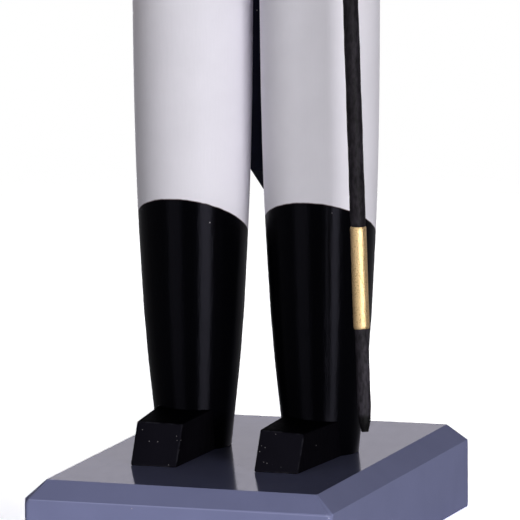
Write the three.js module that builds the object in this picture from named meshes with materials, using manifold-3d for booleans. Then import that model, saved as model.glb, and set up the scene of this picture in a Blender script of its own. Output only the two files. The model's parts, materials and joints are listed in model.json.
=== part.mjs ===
// Soldier nutcracker: a turned and carved wooden figure on a chamfered plinth. A lever in a slot
// through the body carries the lower jaw in front and hangs down the back as a coat tail. Lifting
// the tail turns the lever about a pin through the shoulders and opens the mouth.
// Millimetres, +Z up. The figure faces -Y, so its left hand is at +X. The origin is the middle of
// the plinth's underside.

import * as THREE from "three";
import { ConvexGeometry } from "three/addons/geometries/ConvexGeometry.js";
import { mergeVertices, toCreasedNormals } from "three/addons/utils/BufferGeometryUtils.js";
import Module from "manifold-3d";

const wasm = await Module();
wasm.setup();

// Clearances
const glue = 0.2;
const seat = 0.3;
const dowelFit = 0.2;
const leverSideGap = 0.9;
const sleeveFit = 0.1;

// Plinth
const plinthWidth = 90;
const plinthDepth = 124;
const plinthHeight = 24;
const plinthChamferRun = 5;
const plinthChamferDrop = 4.7;
const plinthCorner = 1.2;

// Legs and boots
const bodySetback = 7.9;
const legGap = 3.8;
const legLength = 140;
const ankleRadius = 10.3;
const hipRadius = 17.1;
const legSwell = 2.5;
const bootHeight = 64.5;
const bootSlope = 0.535;
const toeReach = 37.05;
const toeHeight = 10.8;
const toeFrontWidth = 13;
const toeRootWidth = 17;
const toeLean = 4.45;
const toeInset = 1;

// Dowels
const legDowelRadius = 4;
const legDowelLength = 24;
const neckDowelRadius = 3;
const neckDowelLength = 18;
const neckDowelSpread = 15.2;
const neckDowelForward = 4;
const shoulderDowelRadius = 3;
const shoulderDowelLength = 19;
const jawDowelRadius = 2.5;
const jawDowelLength = 14;
const hatDowelRadius = 4;
const hatDowelLength = 20;
const plumePinRadius = 1.4;
const plumePinLength = 12;

// Coat
const hemOverhang = 1.8;
const waistRadius = 34;
const chestRadius = 38;
const neckRadius = 23;
const skirtHeight = 34;
const chestHeight = 52;
const shoulderHeight = 26;
const collarHeight = 7;
const beltHeight = 9;
const beltThickness = 1.6;
const buckleWidth = 15;
const buckleHeight = 12;
const buckleThickness = 2;
const buttonRadius = 2.8;
const buttonDepth = 2;
const buttonRows = 4;
const buttonFoot = 13;
const buttonHead = 3;
const buttonAngle = 26;

// Head and mouth
const headHeight = 58;
const headFootRadius = 22;
const headRadius = 27.5;
const crownTaper = 2;
const cheekHeight = 20;
const browHeight = 44;
const mouthHeight = 18;
const lipGap = 0.5;
const upperLipDepth = 7;
const nutDepth = 16;
const nutRise = 7.5;
const nutDrop = 4.5;
const noseLength = 9.5;
const noseRadius = 4.8;
const noseHeight = 12.5;
const hairThickness = 4.5;
const hairFoot = 9;
const hairTop = 53;
const faceDepth = 6;

// Lever and lower jaw
const leverThickness = 17;
const pivotSetback = 6;
const pivotDrop = 28;
const pinRadius = 2.5;
const pinInset = 4;
const beamDepth = 16;
const jawDepth = 14;
const lipProud = 2.5;
const chinProud = 6;
const chinDrop = 32;
const toothDepth = 6;
const tailClearance = 1.7;
const tailProud = 4;
const tailDrop = 78.8;
const tailSlope = 0.6466;
const napeDrop = 8;
const leverHeadroom = 1.2;
const beardLength = 48;
const beardDrop = 4;
const beardThickness = 10;

// Hat
const hatHeight = 62;
const hatOverhang = 2.5;
const hatFlare = 4;
const hatRimHeight = 3;
const hatBandHeight = 6;
const hatBandThickness = 0.9;
const hatBandLift = 3;
const peakReach = 14;
const peakThickness = 2.2;
const peakTilt = 20;
const plateRadius = 9;
const plateThickness = 2.4;
const plateHeight = 32;
const plumeHeight = 36;
const plumeRadius = 7.5;
const plumeInset = 9;

// Arms
const armRadius = 11;
const elbowRadius = 9;
const wristRadius = 7.6;
const cuffRadius = 9.4;
const cuffHeight = 9;
const upperArmLength = 42;
const forearmLength = 31;
const handRadius = 7.4;
const handLength = 15;
const shoulderRise = 1;
const armTilt = 5;
const elbowBend = 30;
const epauletteRadius = 12.5;
const epauletteThickness = 3.6;
const epauletteTilt = 16;
const epauletteSpread = 5;

// Sabre
const sabreAngle = 50.5;
const sabreTipHeight = 12.9;
const sabreLean = 3;
const rodRadius = 2.15;
const rodEndRadius = 1.9;
const rodTipRadius = 0.95;
const rodTaper = 7;
const bandStart = 28.8;
const bandLength = 28.4;
const bandRadius = 2.25;
const locketLength = 12;
const locketThickness = 0.6;
const frogThickness = 1.8;
const frogHeight = 7;
const frogTabLength = 7.4;
const frogTabHeight = 5.6;
const guardRadius = 6;
const guardThickness = 2;
const gripRadius = 2.7;
const gripLength = 22;
const pommelRadius = 3.6;

// Facets round a turned piece, and the angle past which an edge stays sharp
const bodySides = 40;
const legSides = 32;
const limbSides = 20;
const smallSides = 12;
const crease = Math.PI / 5;

// Levels above the plinth's top, and places on the figure's own axis
const legX = hipRadius + legGap / 2;
const hemRadius = legX + hipRadius + hemOverhang;
const crownRadius = headRadius - crownTaper;
const hatFootRadius = crownRadius + hatOverhang;
const legFoot = glue;
const hem = legFoot + legLength + glue;
const waist = hem + skirtHeight;
const chest = waist + chestHeight;
const neck = chest + shoulderHeight;
const headFoot = neck + glue;
const mouth = headFoot + mouthHeight;
const crown = headFoot + headHeight;
const hatFoot = crown + glue;
const shoulder = chest + shoulderRise;
const pivot = mouth - pivotDrop;
const armX = chestRadius + seat + armRadius;
const slotWidth = leverThickness + 2 * leverSideGap;
const farAway = 300;

// Jaw and lever places, measured from the pivot
const jawFront = -(headRadius + pivotSetback + lipProud);
const jawBack = jawFront + jawDepth;
const chinFront = -(headRadius + pivotSetback + chinProud);
const beardFront = chinFront - beardThickness;
const beardFoot = -beardDrop - beardLength / 2;
const slotRadius = Math.hypot(beardFront, beardFoot);
const nutBack = -(headRadius + pivotSetback) + upperLipDepth + nutDepth;
const nutFloor = pivotDrop - nutDrop;
const leverBack = chestRadius + tailProud - pivotSetback;
const leverFront = hipRadius + tailClearance - pivotSetback;
const tailTip = hem - tailDrop - pivot;
const tailHeel = tailTip + tailSlope * (leverBack - leverFront);

// The sabre hangs in a plane through the figure's axis. The frog's tab holds it off the belt and
// the tip leans out. Places along it are measured from the tip
const sabreTurn = THREE.MathUtils.degToRad(sabreAngle);
const lean = THREE.MathUtils.degToRad(sabreLean);
const beltFoot = skirtHeight - beltHeight / 2;
const beltRadius = coatRadius(beltFoot) + glue + beltThickness;
const frogInner = rodRadius + sleeveFit;
const frogReach = beltRadius + seat + frogTabLength + frogThickness + frogInner;
const sabreTipReach = frogReach + (waist - sabreTipHeight) * Math.tan(lean);
const frogAlong = (waist - sabreTipHeight) / Math.cos(lean);
const bandEnd = bandStart + bandLength;
const locketFoot = frogAlong + frogHeight / 2 + seat;
const scabbardLength = locketFoot + locketLength;

// Finishes
function finish(color, roughness, metalness = 0) {
  return new THREE.MeshStandardMaterial({ color, roughness, metalness });
}
function paintedFinish(roughness) {
  return new THREE.MeshStandardMaterial({ color: "#ffffff", roughness, vertexColors: true });
}
const colours = {
  trousers: "#dcd9e2",
  boot: "#0c0b10",
  navy: "#10142c",
  scarlet: "#a3161c",
  skin: "#e0ab86",
  tooth: "#f0ebe0",
};
const slatePaint = finish("#7479a0", 0.25);
const legPaint = paintedFinish(0.35);
const bootPaint = finish(colours.boot, 0.4);
const coatPaint = paintedFinish(0.4);
const navyPaint = finish(colours.navy, 0.4);
const skinPaint = finish(colours.skin, 0.45);
const jawPaint = paintedFinish(0.45);
const scarletPaint = finish(colours.scarlet, 0.4);
const hatPaint = finish("#15151a", 0.45);
const goldPaint = finish("#d9b45c", 0.35, 0.9);
const scabbardPaint = finish("#262228", 0.55);
const furCloth = finish("#ece7dc", 0.95);
const whiteLeather = finish("#ded9cf", 0.6);
const blackLeather = finish("#141317", 0.35);
const bareBeech = finish("#c79a68", 0.7);
const steel = finish("#9a9da1", 0.3, 1);

// A closed geometry as a solid, and a solid back as a geometry
function solid(geometry) {
  const bare = new THREE.BufferGeometry();
  bare.setAttribute("position", geometry.getAttribute("position").clone());
  if (geometry.index) bare.setIndex(geometry.index.clone());
  const merged = mergeVertices(bare, 1e-4);
  const corners = merged.index.array;
  const kept = [];
  for (let i = 0; i < corners.length; i += 3) {
    const [a, b, c] = corners.slice(i, i + 3);
    if (a !== b && b !== c && c !== a) kept.push(a, b, c);
  }
  return new wasm.Manifold(new wasm.Mesh({
    numProp: 3,
    vertProperties: new Float32Array(merged.getAttribute("position").array),
    triVerts: new Uint32Array(kept),
  }));
}
function surface(body) {
  const mesh = body.getMesh();
  const geometry = new THREE.BufferGeometry();
  geometry.setAttribute("position", new THREE.BufferAttribute(mesh.vertProperties, mesh.numProp));
  geometry.setIndex(new THREE.BufferAttribute(mesh.triVerts, 1));
  return geometry;
}
function cut(geometry, ...tools) {
  return surface(tools.reduce((body, tool) => body.subtract(solid(tool)), solid(geometry)));
}
function join(geometry, ...others) {
  return surface(others.reduce((body, other) => body.add(solid(other)), solid(geometry)));
}
function common(geometry, other) {
  return surface(solid(geometry).intersect(solid(other)));
}

// Shapes
function turned(profile, sides) {
  const points = profile.map(([r, z]) => new THREE.Vector2(r, z));
  return new THREE.LatheGeometry(points, sides).rotateX(Math.PI / 2);
}
function board(outline, thickness) {
  const geometry = new THREE.ExtrudeGeometry(outline, {
    depth: thickness,
    bevelEnabled: false,
    curveSegments: 8,
  });
  const upright = new THREE.Matrix4().makeBasis(
    new THREE.Vector3(0, 1, 0),
    new THREE.Vector3(0, 0, 1),
    new THREE.Vector3(1, 0, 0),
  );
  return geometry.translate(0, 0, -thickness / 2).applyMatrix4(upright);
}
function rod(radius, length, axis = "z", sides = smallSides) {
  const geometry = new THREE.CylinderGeometry(radius, radius, length, sides);
  if (axis === "x") geometry.rotateZ(-Math.PI / 2);
  if (axis === "z") geometry.rotateX(Math.PI / 2);
  return geometry;
}
function block(x, y, z) {
  return new THREE.BoxGeometry(x, y, z);
}
function at(geometry, x, y, z) {
  return geometry.clone().translate(x, y, z);
}
function ease(t) {
  return t * t * (3 - 2 * t);
}
function steps(count, from, to) {
  return Array.from({ length: count + 1 }, (_, i) => from + ((to - from) * i) / count);
}

// Colour each face of a piece by the place of its middle
function painted(geometry, colourAt) {
  const faces = toCreasedNormals(geometry, crease);
  const place = faces.getAttribute("position");
  const tint = new Float32Array(place.count * 3);
  const middle = new THREE.Vector3();
  const corner = new THREE.Vector3();
  for (let face = 0; face < place.count; face += 3) {
    middle.set(0, 0, 0);
    for (let i = 0; i < 3; i += 1) middle.addScaledVector(corner.fromBufferAttribute(place, face + i), 1 / 3);
    const colour = new THREE.Color(colourAt(middle));
    for (let i = 0; i < 3; i += 1) colour.toArray(tint, (face + i) * 3);
  }
  faces.setAttribute("color", new THREE.BufferAttribute(tint, 3));
  return faces;
}

// Add one named piece to a group
function add(group, name, geometry, material, x = 0, y = 0, z = 0) {
  const creased = geometry.getAttribute("color") ? geometry : toCreasedNormals(geometry, crease);
  const mesh = new THREE.Mesh(creased, material);
  mesh.name = name;
  mesh.position.set(x, y, z);
  group.add(mesh);
  return mesh;
}

// Radii of the turned pieces at a height above their foot
function legRadius(z) {
  return hipRadius - (hipRadius - ankleRadius) * (1 - z / legLength) ** legSwell;
}
function coatRadius(z) {
  if (z <= skirtHeight) return waistRadius + (hemRadius - waistRadius) * ease(1 - z / skirtHeight);
  const above = z - skirtHeight;
  if (above <= chestHeight) return waistRadius + (chestRadius - waistRadius) * ease(above / chestHeight);
  const t = (above - chestHeight) / shoulderHeight;
  return neckRadius + (chestRadius - neckRadius) * Math.sqrt(Math.max(0, 1 - t * t));
}
function headRadiusAt(z) {
  if (z <= cheekHeight) {
    return headFootRadius + (headRadius - headFootRadius) * Math.sin((Math.PI / 2) * (z / cheekHeight));
  }
  if (z <= browHeight) return headRadius;
  return headRadius - (headRadius - crownRadius) * ((z - browHeight) / (headHeight - browHeight)) ** 2;
}
function hatRadius(z) {
  return hatFootRadius + hatFlare * (z / hatHeight) ** 2;
}

// Profiles of the turned pieces, grown outwards where they cut a neighbour
function coatProfile(grow) {
  const top = skirtHeight + chestHeight;
  const rows = [
    ...steps(4, 0, skirtHeight),
    ...steps(6, skirtHeight, top).slice(1),
    ...steps(7, 0, Math.PI / 2).slice(1).map((a) => top + shoulderHeight * Math.sin(a)),
  ];
  const wall = rows.map((z) => [coatRadius(z) + grow, z + (z > top ? grow : 0)]);
  return [[0, -grow], [hemRadius + grow, -grow], ...wall.slice(grow > 0 ? 0 : 1), [0, wall.at(-1)[1]]];
}
function headProfile(grow) {
  const rows = [
    ...steps(5, 0, cheekHeight),
    ...steps(2, cheekHeight, browHeight).slice(1),
    ...steps(3, browHeight, headHeight).slice(1),
  ];
  return [[0, 0], ...rows.map((z) => [headRadiusAt(z) + grow, z]), [0, headHeight]];
}
function hatProfile(grow) {
  const rim = hatHeight - hatRimHeight;
  const wall = steps(6, 0, rim).map((z) => [hatRadius(z) + grow, z]);
  const rimRadius = hatRadius(hatHeight) + grow;
  return [[0, 0], ...wall, [rimRadius, rim], [rimRadius, hatHeight], [0, hatHeight]];
}
function ring(radiusAt, foot, height, inner, thickness, rows) {
  const levels = steps(rows, foot, foot + height);
  const inside = levels.map((z) => [radiusAt(z) + inner, z]);
  const outside = levels.toReversed().map((z) => [radiusAt(z) + inner + thickness, z]);
  return turned([...outside.toReversed(), ...inside.toReversed(), outside.at(-1)], bodySides);
}

const nutcracker = new THREE.Group();
const figure = new THREE.Group();
figure.position.set(0, bodySetback, plinthHeight);
nutcracker.add(figure);

// Plinth with the two blind holes for the foot dowels
function plinthLevel(inset, z) {
  const x = plinthWidth / 2 - inset;
  const y = plinthDepth / 2 - inset;
  const corners = [];
  for (const sx of [-1, 1]) {
    for (const sy of [-1, 1]) {
      corners.push(new THREE.Vector3(sx * (x - plinthCorner), sy * y, z));
      corners.push(new THREE.Vector3(sx * x, sy * (y - plinthCorner), z));
    }
  }
  return corners;
}
const legDowelHole = rod(legDowelRadius + dowelFit, legDowelLength + 2 * dowelFit);
const plinth = cut(
  new ConvexGeometry([
    ...plinthLevel(plinthCorner, 0),
    ...plinthLevel(0, plinthCorner),
    ...plinthLevel(0, plinthHeight - plinthChamferDrop),
    ...plinthLevel(plinthChamferRun, plinthHeight),
  ]),
  at(legDowelHole, legX, bodySetback, plinthHeight),
  at(legDowelHole, -legX, bodySetback, plinthHeight),
);
add(nutcracker, "plinth", plinth, slatePaint);

// Legs: one turned piece each, with the boot's slanting paint line as a tilted row of corners
const holeRadius = legDowelRadius + dowelFit;
const holeDepth = legDowelLength / 2 + dowelFit;
const bootLineSpan = bootSlope * hipRadius + 2;
const legRows = [
  ...steps(5, 0, bootHeight - bootLineSpan),
  bootHeight,
  ...steps(4, bootHeight + bootLineSpan, legLength),
];
function legGeometry() {
  const geometry = turned([
    [0, holeDepth],
    [holeRadius, holeDepth],
    [holeRadius, 0],
    ...legRows.map((z) => [legRadius(z), z]),
    [holeRadius, legLength],
    [holeRadius, legLength - holeDepth],
    [0, legLength - holeDepth],
  ], legSides);
  const place = geometry.getAttribute("position");
  for (let i = 0; i < place.count; i += 1) {
    const [x, y, z] = [place.getX(i), place.getY(i), place.getZ(i)];
    if (Math.abs(z - bootHeight) > 1e-4) continue;
    const lifted = z - bootSlope * y;
    const swell = legRadius(lifted) / Math.hypot(x, y);
    place.setXYZ(i, x * swell, y * swell, lifted);
  }
  return painted(geometry, (p) => (p.z < bootHeight - bootSlope * p.y ? colours.boot : colours.trousers));
}
const legDowel = rod(legDowelRadius, legDowelLength);

// Toe block: a tapered block coped to the front of the boot, a little towards the other one
function toeGeometry(middle) {
  const corners = [];
  for (const side of [-1, 1]) {
    const front = middle + side * toeFrontWidth / 2;
    const root = middle + side * toeRootWidth / 2;
    corners.push(new THREE.Vector3(front, -toeReach, 0));
    corners.push(new THREE.Vector3(front, toeLean - toeReach, toeHeight));
    corners.push(new THREE.Vector3(root, 0, 0));
    corners.push(new THREE.Vector3(root, 0, toeHeight));
  }
  const boot = turned([
    [0, -1],
    [ankleRadius + seat, -1],
    ...steps(3, 0, 2 * toeHeight).map((z) => [legRadius(z) + seat, z]),
    [0, 2 * toeHeight],
  ], legSides);
  return cut(new ConvexGeometry(corners), boot);
}
for (const [side, sign] of [["right", -1], ["left", 1]]) {
  const x = sign * legX;
  add(figure, `${side}_leg`, legGeometry(), legPaint, x, 0, legFoot);
  add(figure, `${side}_toe`, toeGeometry(-sign * toeInset), bootPaint, x, 0, glue);
  add(figure, `${side}_foot_dowel`, legDowel, bareBeech, x, 0, 0);
  add(figure, `${side}_hip_dowel`, legDowel, bareBeech, x, 0, hem);
}

// Torso: the turned coat with the lever's slot, sawn round about the pivot and open down the back
const leverSweep = rod(slotRadius, slotWidth, "x", bodySides);
const backSlot = block(slotWidth, farAway, farAway);
const backSlotY = leverFront + pivotSetback - tailClearance + farAway / 2;
const neckDowelHole = rod(neckDowelRadius + dowelFit, neckDowelLength + 2 * dowelFit);
const shoulderDowelHole = rod(shoulderDowelRadius + dowelFit, shoulderDowelLength + 2 * dowelFit, "x");
const pinReach = Math.sqrt(coatRadius(pivot - hem) ** 2 - pivotSetback ** 2);
const pinEnd = pinReach - pinInset;
const pinHole = at(rod(pinRadius + dowelFit, farAway, "x"), pinEnd + dowelFit - farAway / 2, 0, 0);
const coat = turned(coatProfile(0), bodySides);
const torso = cut(
  coat,
  at(leverSweep, 0, pivotSetback, pivot - hem),
  at(backSlot, 0, backSlotY, 0),
  at(legDowelHole, legX, 0, 0),
  at(legDowelHole, -legX, 0, 0),
  at(neckDowelHole, neckDowelSpread, -neckDowelForward, neck - hem),
  at(neckDowelHole, -neckDowelSpread, -neckDowelForward, neck - hem),
  at(shoulderDowelHole, chestRadius, 0, shoulder - hem),
  at(shoulderDowelHole, -chestRadius, 0, shoulder - hem),
  at(pinHole, 0, pivotSetback, pivot - hem),
);
const collarFoot = neck - hem - collarHeight;
const coatColours = (p) => (p.z > collarFoot ? colours.scarlet : colours.navy);
add(figure, "torso", painted(torso, coatColours), coatPaint, 0, 0, hem);

// Pivot pin, driven in from the right, and the plug that closes its hole flush with the coat
const pinLength = 2 * pinEnd;
add(figure, "pivot_pin", rod(pinRadius, pinLength, "x"), steel, 0, pivotSetback, pivot);
const plugStock = at(rod(pinRadius, farAway, "x"), -pinEnd - glue - farAway / 2, pivotSetback, pivot - hem);
add(figure, "pivot_plug", common(coat, plugStock), navyPaint, 0, 0, hem);

// Belt round the waist, open where the lever passes, with its buckle
const belt = cut(
  ring(coatRadius, beltFoot, beltHeight, glue, beltThickness, 2),
  at(backSlot, 0, farAway / 2, 0),
);
add(figure, "belt", belt, whiteLeather, 0, 0, hem);
const buckle = block(buckleWidth, buckleThickness, buckleHeight);
add(figure, "belt_buckle", buckle, goldPaint, 0, -(beltRadius + seat + buckleThickness / 2), waist);

// Two rows of coat buttons, each a small turned dome facing outwards
const button = turned([
  [0, 0],
  [buttonRadius, 0],
  [buttonRadius, buttonDepth * 0.35],
  [buttonRadius * 0.7, buttonDepth * 0.85],
  [0, buttonDepth],
], smallSides);
const buttonPitch = (chestHeight - buttonFoot - buttonHead) / (buttonRows - 1);
for (const [side, sign] of [["right", -1], ["left", 1]]) {
  for (let row = 0; row < buttonRows; row += 1) {
    const z = waist + buttonFoot + row * buttonPitch;
    const turn = sign * THREE.MathUtils.degToRad(buttonAngle);
    const out = coatRadius(z - hem) + seat;
    const mesh = add(figure, `coat_button_${side}_${row + 1}`, button, goldPaint);
    mesh.rotation.set(Math.PI / 2, 0, turn, "ZXY");
    mesh.position.set(out * Math.sin(turn), -out * Math.cos(turn), z);
  }
}

// Head with the mouth slot, the hollow for the nut and three dowel holes
const hatDowelHole = rod(hatDowelRadius + dowelFit, hatDowelLength + 2 * dowelFit);
const headSolid = turned(headProfile(0), bodySides);
const roof = mouthHeight + lipGap;
const head = cut(
  headSolid,
  at(block(slotWidth, farAway, farAway), 0, 0, roof - farAway / 2),
  at(block(slotWidth, nutDepth, 2 * nutRise), 0, upperLipDepth + nutDepth / 2 - headRadius, mouthHeight),
  at(neckDowelHole, neckDowelSpread, -neckDowelForward, 0),
  at(neckDowelHole, -neckDowelSpread, -neckDowelForward, 0),
  at(hatDowelHole, 0, 0, headHeight),
);
const headGroup = new THREE.Group();
headGroup.position.z = headFoot;
figure.add(headGroup);
add(headGroup, "head", head, skinPaint);
const neckDowel = rod(neckDowelRadius, neckDowelLength);
add(headGroup, "right_neck_dowel", neckDowel, bareBeech, -neckDowelSpread, -neckDowelForward, -glue / 2);
add(headGroup, "left_neck_dowel", neckDowel, bareBeech, neckDowelSpread, -neckDowelForward, -glue / 2);
const nosePeg = turned([
  [0, -noseLength],
  [noseRadius * 0.8, -noseLength],
  [noseRadius, 0],
  [noseRadius * 0.85, noseLength * 0.55],
  [noseRadius * 0.5, noseLength * 0.9],
  [0, noseLength],
], smallSides).rotateX(Math.PI / 2);
const grownHead = turned(headProfile(seat), bodySides);
const nose = cut(at(nosePeg, 0, -headRadius, mouthHeight + noseHeight), grownHead);
add(headGroup, "nose", nose, skinPaint);
const hair = cut(
  ring(headRadiusAt, hairFoot, hairTop - hairFoot, seat, hairThickness, 5),
  at(block(farAway, farAway, farAway), 0, -faceDepth - farAway / 2, 0),
  at(block(slotWidth + 2 * leverSideGap, farAway, farAway), 0, farAway / 2, roof + seat - farAway / 2),
);
add(headGroup, "hair", hair, furCloth);

// Lever: one board with the beam through the body and the coat tail down the back
const leverGroup = new THREE.Group();
leverGroup.position.set(0, pivotSetback, pivot);
figure.add(leverGroup);
const beamFront = jawBack + glue;
const leverOutline = new THREE.Shape();
leverOutline.moveTo(beamFront, -beamDepth);
leverOutline.lineTo(beamFront, nutFloor);
leverOutline.lineTo(nutBack, nutFloor);
leverOutline.lineTo(nutBack + nutDrop, pivotDrop - leverHeadroom);
leverOutline.lineTo(pivotSetback, pivotDrop - leverHeadroom);
leverOutline.quadraticCurveTo(leverBack - tailProud, pivotDrop - napeDrop, leverBack, chest - pivot);
leverOutline.lineTo(leverBack, tailTip);
leverOutline.lineTo(leverFront, tailHeel);
leverOutline.lineTo(leverFront, -2 * beamDepth);
leverOutline.quadraticCurveTo(leverFront, -beamDepth, leverFront - beamDepth, -beamDepth);
const jawDowelZ = (nutFloor - beamDepth) / 2;
const jawDowelHole = rod(jawDowelRadius + dowelFit, jawDowelLength + 2 * dowelFit, "y");
const jawDowelY = jawBack + glue / 2;
const lever = cut(
  board(leverOutline, leverThickness),
  rod(pinRadius + dowelFit, farAway, "x"),
  at(jawDowelHole, 0, jawDowelY, jawDowelZ),
);
add(leverGroup, "jaw_lever", lever, navyPaint);

// Lower jaw: a block with the chin in front and the row of teeth on top
function jawOutline(grow) {
  const outline = new THREE.Shape();
  outline.moveTo(jawBack, -chinDrop);
  outline.lineTo(jawFront - grow, -chinDrop);
  outline.bezierCurveTo(
    chinFront - grow, -chinDrop * 0.6,
    chinFront - grow, -chinDrop * 0.1,
    jawFront - grow, pivotDrop - toothDepth,
  );
  outline.lineTo(jawFront - grow, pivotDrop);
  outline.lineTo(jawFront + toothDepth, pivotDrop);
  outline.lineTo(jawFront + toothDepth, nutFloor);
  outline.lineTo(jawBack, nutFloor);
  return outline;
}
const jaw = cut(board(jawOutline(0), leverThickness), at(jawDowelHole, 0, jawDowelY, jawDowelZ));
const toothLine = pivotDrop - toothDepth;
add(leverGroup, "lower_jaw", painted(jaw, (p) => (p.z > toothLine ? colours.tooth : colours.skin)), jawPaint);
add(leverGroup, "jaw_dowel", rod(jawDowelRadius, jawDowelLength, "y"), bareBeech, 0, jawDowelY, jawDowelZ);

// Beard: a tuft of fur on the chin, no wider than the slot it swings into
const tuft = new THREE.SphereGeometry(1, limbSides, smallSides);
tuft.rotateX(Math.PI / 2).scale(leverThickness / 2, beardThickness, beardLength / 2);
const beard = cut(at(tuft, 0, chinFront, -beardDrop), board(jawOutline(seat), 2 * leverThickness));
add(leverGroup, "beard", beard, furCloth);

// Hat with its peak, bands, plate and plume
const hatGroup = new THREE.Group();
hatGroup.position.z = hatFoot;
figure.add(hatGroup);
const plumeY = plumeInset - hatRadius(hatHeight);
const plumePinHole = rod(plumePinRadius + dowelFit, plumePinLength + 2 * dowelFit);
const hat = cut(
  turned(hatProfile(0), bodySides),
  at(hatDowelHole, 0, 0, 0),
  at(plumePinHole, 0, plumeY, hatHeight),
);
add(hatGroup, "hat_body", hat, hatPaint);
add(hatGroup, "hat_dowel", rod(hatDowelRadius, hatDowelLength), bareBeech, 0, 0, -glue / 2);
const lowerBand = ring(hatRadius, hatBandLift, hatBandHeight, glue, hatBandThickness, 1);
add(hatGroup, "hat_lower_band", lowerBand, goldPaint);
const upperBandFoot = hatHeight - hatRimHeight - glue - hatBandHeight;
const upperBand = ring(hatRadius, upperBandFoot, hatBandHeight, glue, hatBandThickness, 1);
add(hatGroup, "hat_upper_band", upperBand, goldPaint);

const grownHat = turned(hatProfile(seat), bodySides);
const peakOutline = new THREE.Shape();
peakOutline.moveTo(-hatFootRadius, 0);
peakOutline.absellipse(0, 0, hatFootRadius, hatFootRadius + peakReach, Math.PI, 2 * Math.PI, false);
const peakStock = new THREE.ExtrudeGeometry(peakOutline, {
  depth: peakThickness,
  bevelEnabled: false,
  curveSegments: 16,
});
peakStock.translate(0, hatFootRadius, 0).rotateX(THREE.MathUtils.degToRad(peakTilt));
const peakBore = turned([
  [0, -farAway],
  [hatFootRadius + seat, -farAway],
  [hatFootRadius + seat, farAway],
  [0, farAway],
], bodySides);
const peakRoom = at(block(farAway, farAway, farAway), 0, 0, hatBandLift - glue + farAway / 2);
const peak = cut(at(peakStock, 0, -hatFootRadius, 0), peakBore, peakRoom);
add(hatGroup, "hat_peak", peak, blackLeather);

const plateDisc = turned([
  [0, -plateRadius],
  [plateRadius, -plateRadius],
  [plateRadius, plateThickness * 0.4],
  [plateRadius * 0.8, plateThickness],
  [plateRadius * 0.3, plateThickness * 1.3],
  [0, plateThickness * 1.4],
], limbSides).rotateX(Math.PI / 2);
const plate = cut(at(plateDisc, 0, -hatRadius(plateHeight), plateHeight), grownHat);
add(hatGroup, "hat_plate", plate, goldPaint);

const plumeProfile = steps(8, 0, 1).map((t) => [
  plumeRadius * Math.sqrt(Math.sin(Math.PI * (0.06 + 0.94 * t ** 0.8))),
  plumeHeight * t,
]);
plumeProfile[plumeProfile.length - 1][0] = 0;
const plume = cut(turned([[0, 0], ...plumeProfile], limbSides), at(plumePinHole, 0, 0, -glue));
add(hatGroup, "plume", plume, scarletPaint, 0, plumeY, hatHeight + glue);
add(hatGroup, "plume_pin", rod(plumePinRadius, plumePinLength), bareBeech, 0, plumeY, hatHeight);

// Arms: a dowelled upper arm, a forearm mitred to it at the elbow, and a hand
const mitreSpan = 4 * elbowRadius;
const bend = THREE.MathUtils.degToRad(elbowBend);
const mitreHalf = block(mitreSpan, mitreSpan, mitreSpan);
const upperArmStock = turned([
  [0, -upperArmLength - elbowRadius],
  [elbowRadius, -upperArmLength - elbowRadius],
  [elbowRadius, -upperArmLength],
  [armRadius, -upperArmLength / 3],
  ...steps(4, 0, Math.PI / 2).slice(0, -1).map((a) => [armRadius * Math.cos(a), armRadius * Math.sin(a)]),
  [0, armRadius],
], limbSides);
const belowElbow = at(mitreHalf, 0, 0, glue - mitreSpan / 2).rotateX(-bend / 2);
const forearmStock = turned([
  [0, -forearmLength],
  [cuffRadius, -forearmLength],
  [cuffRadius, cuffHeight - forearmLength],
  [wristRadius, cuffHeight - forearmLength],
  [elbowRadius, 0],
  [elbowRadius, elbowRadius],
  [0, elbowRadius],
], limbSides);
const aboveElbow = at(mitreHalf, 0, 0, mitreSpan / 2 - glue / 2).rotateX(bend / 2);
const forearm = cut(forearmStock, aboveElbow);
const cuffLine = cuffHeight - forearmLength;
const hand = turned([
  [0, -handLength],
  ...steps(5, -0.42 * Math.PI, 0.42 * Math.PI).map((a) => [
    handRadius * Math.cos(a),
    (handLength / 2) * (Math.sin(a) - 1),
  ]),
  [0, (handLength / 2) * (Math.sin(0.42 * Math.PI) - 1)],
], limbSides);
const shoulderDowel = rod(shoulderDowelRadius, shoulderDowelLength, "x");
const tilt = THREE.MathUtils.degToRad(armTilt);
for (const [side, sign] of [["right", -1], ["left", 1]]) {
  const arm = new THREE.Group();
  arm.position.set(sign * armX, 0, shoulder);
  arm.rotation.x = -tilt;
  figure.add(arm);
  const upperArm = cut(
    upperArmStock,
    at(belowElbow, 0, 0, -upperArmLength),
    at(shoulderDowelHole, sign * (chestRadius - armX), 0, 0),
  );
  add(arm, `${side}_upper_arm`, upperArm, navyPaint);
  add(figure, `${side}_shoulder_dowel`, shoulderDowel, bareBeech, sign * chestRadius, 0, shoulder);
  const lowerArm = new THREE.Group();
  lowerArm.position.z = -upperArmLength;
  lowerArm.rotation.x = -bend;
  arm.add(lowerArm);
  const sleeve = painted(forearm, (p) => (p.z < cuffLine ? colours.scarlet : colours.navy));
  add(lowerArm, `${side}_forearm`, sleeve, coatPaint);
  add(lowerArm, `${side}_hand`, hand, skinPaint, 0, 0, -forearmLength);
}

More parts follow.
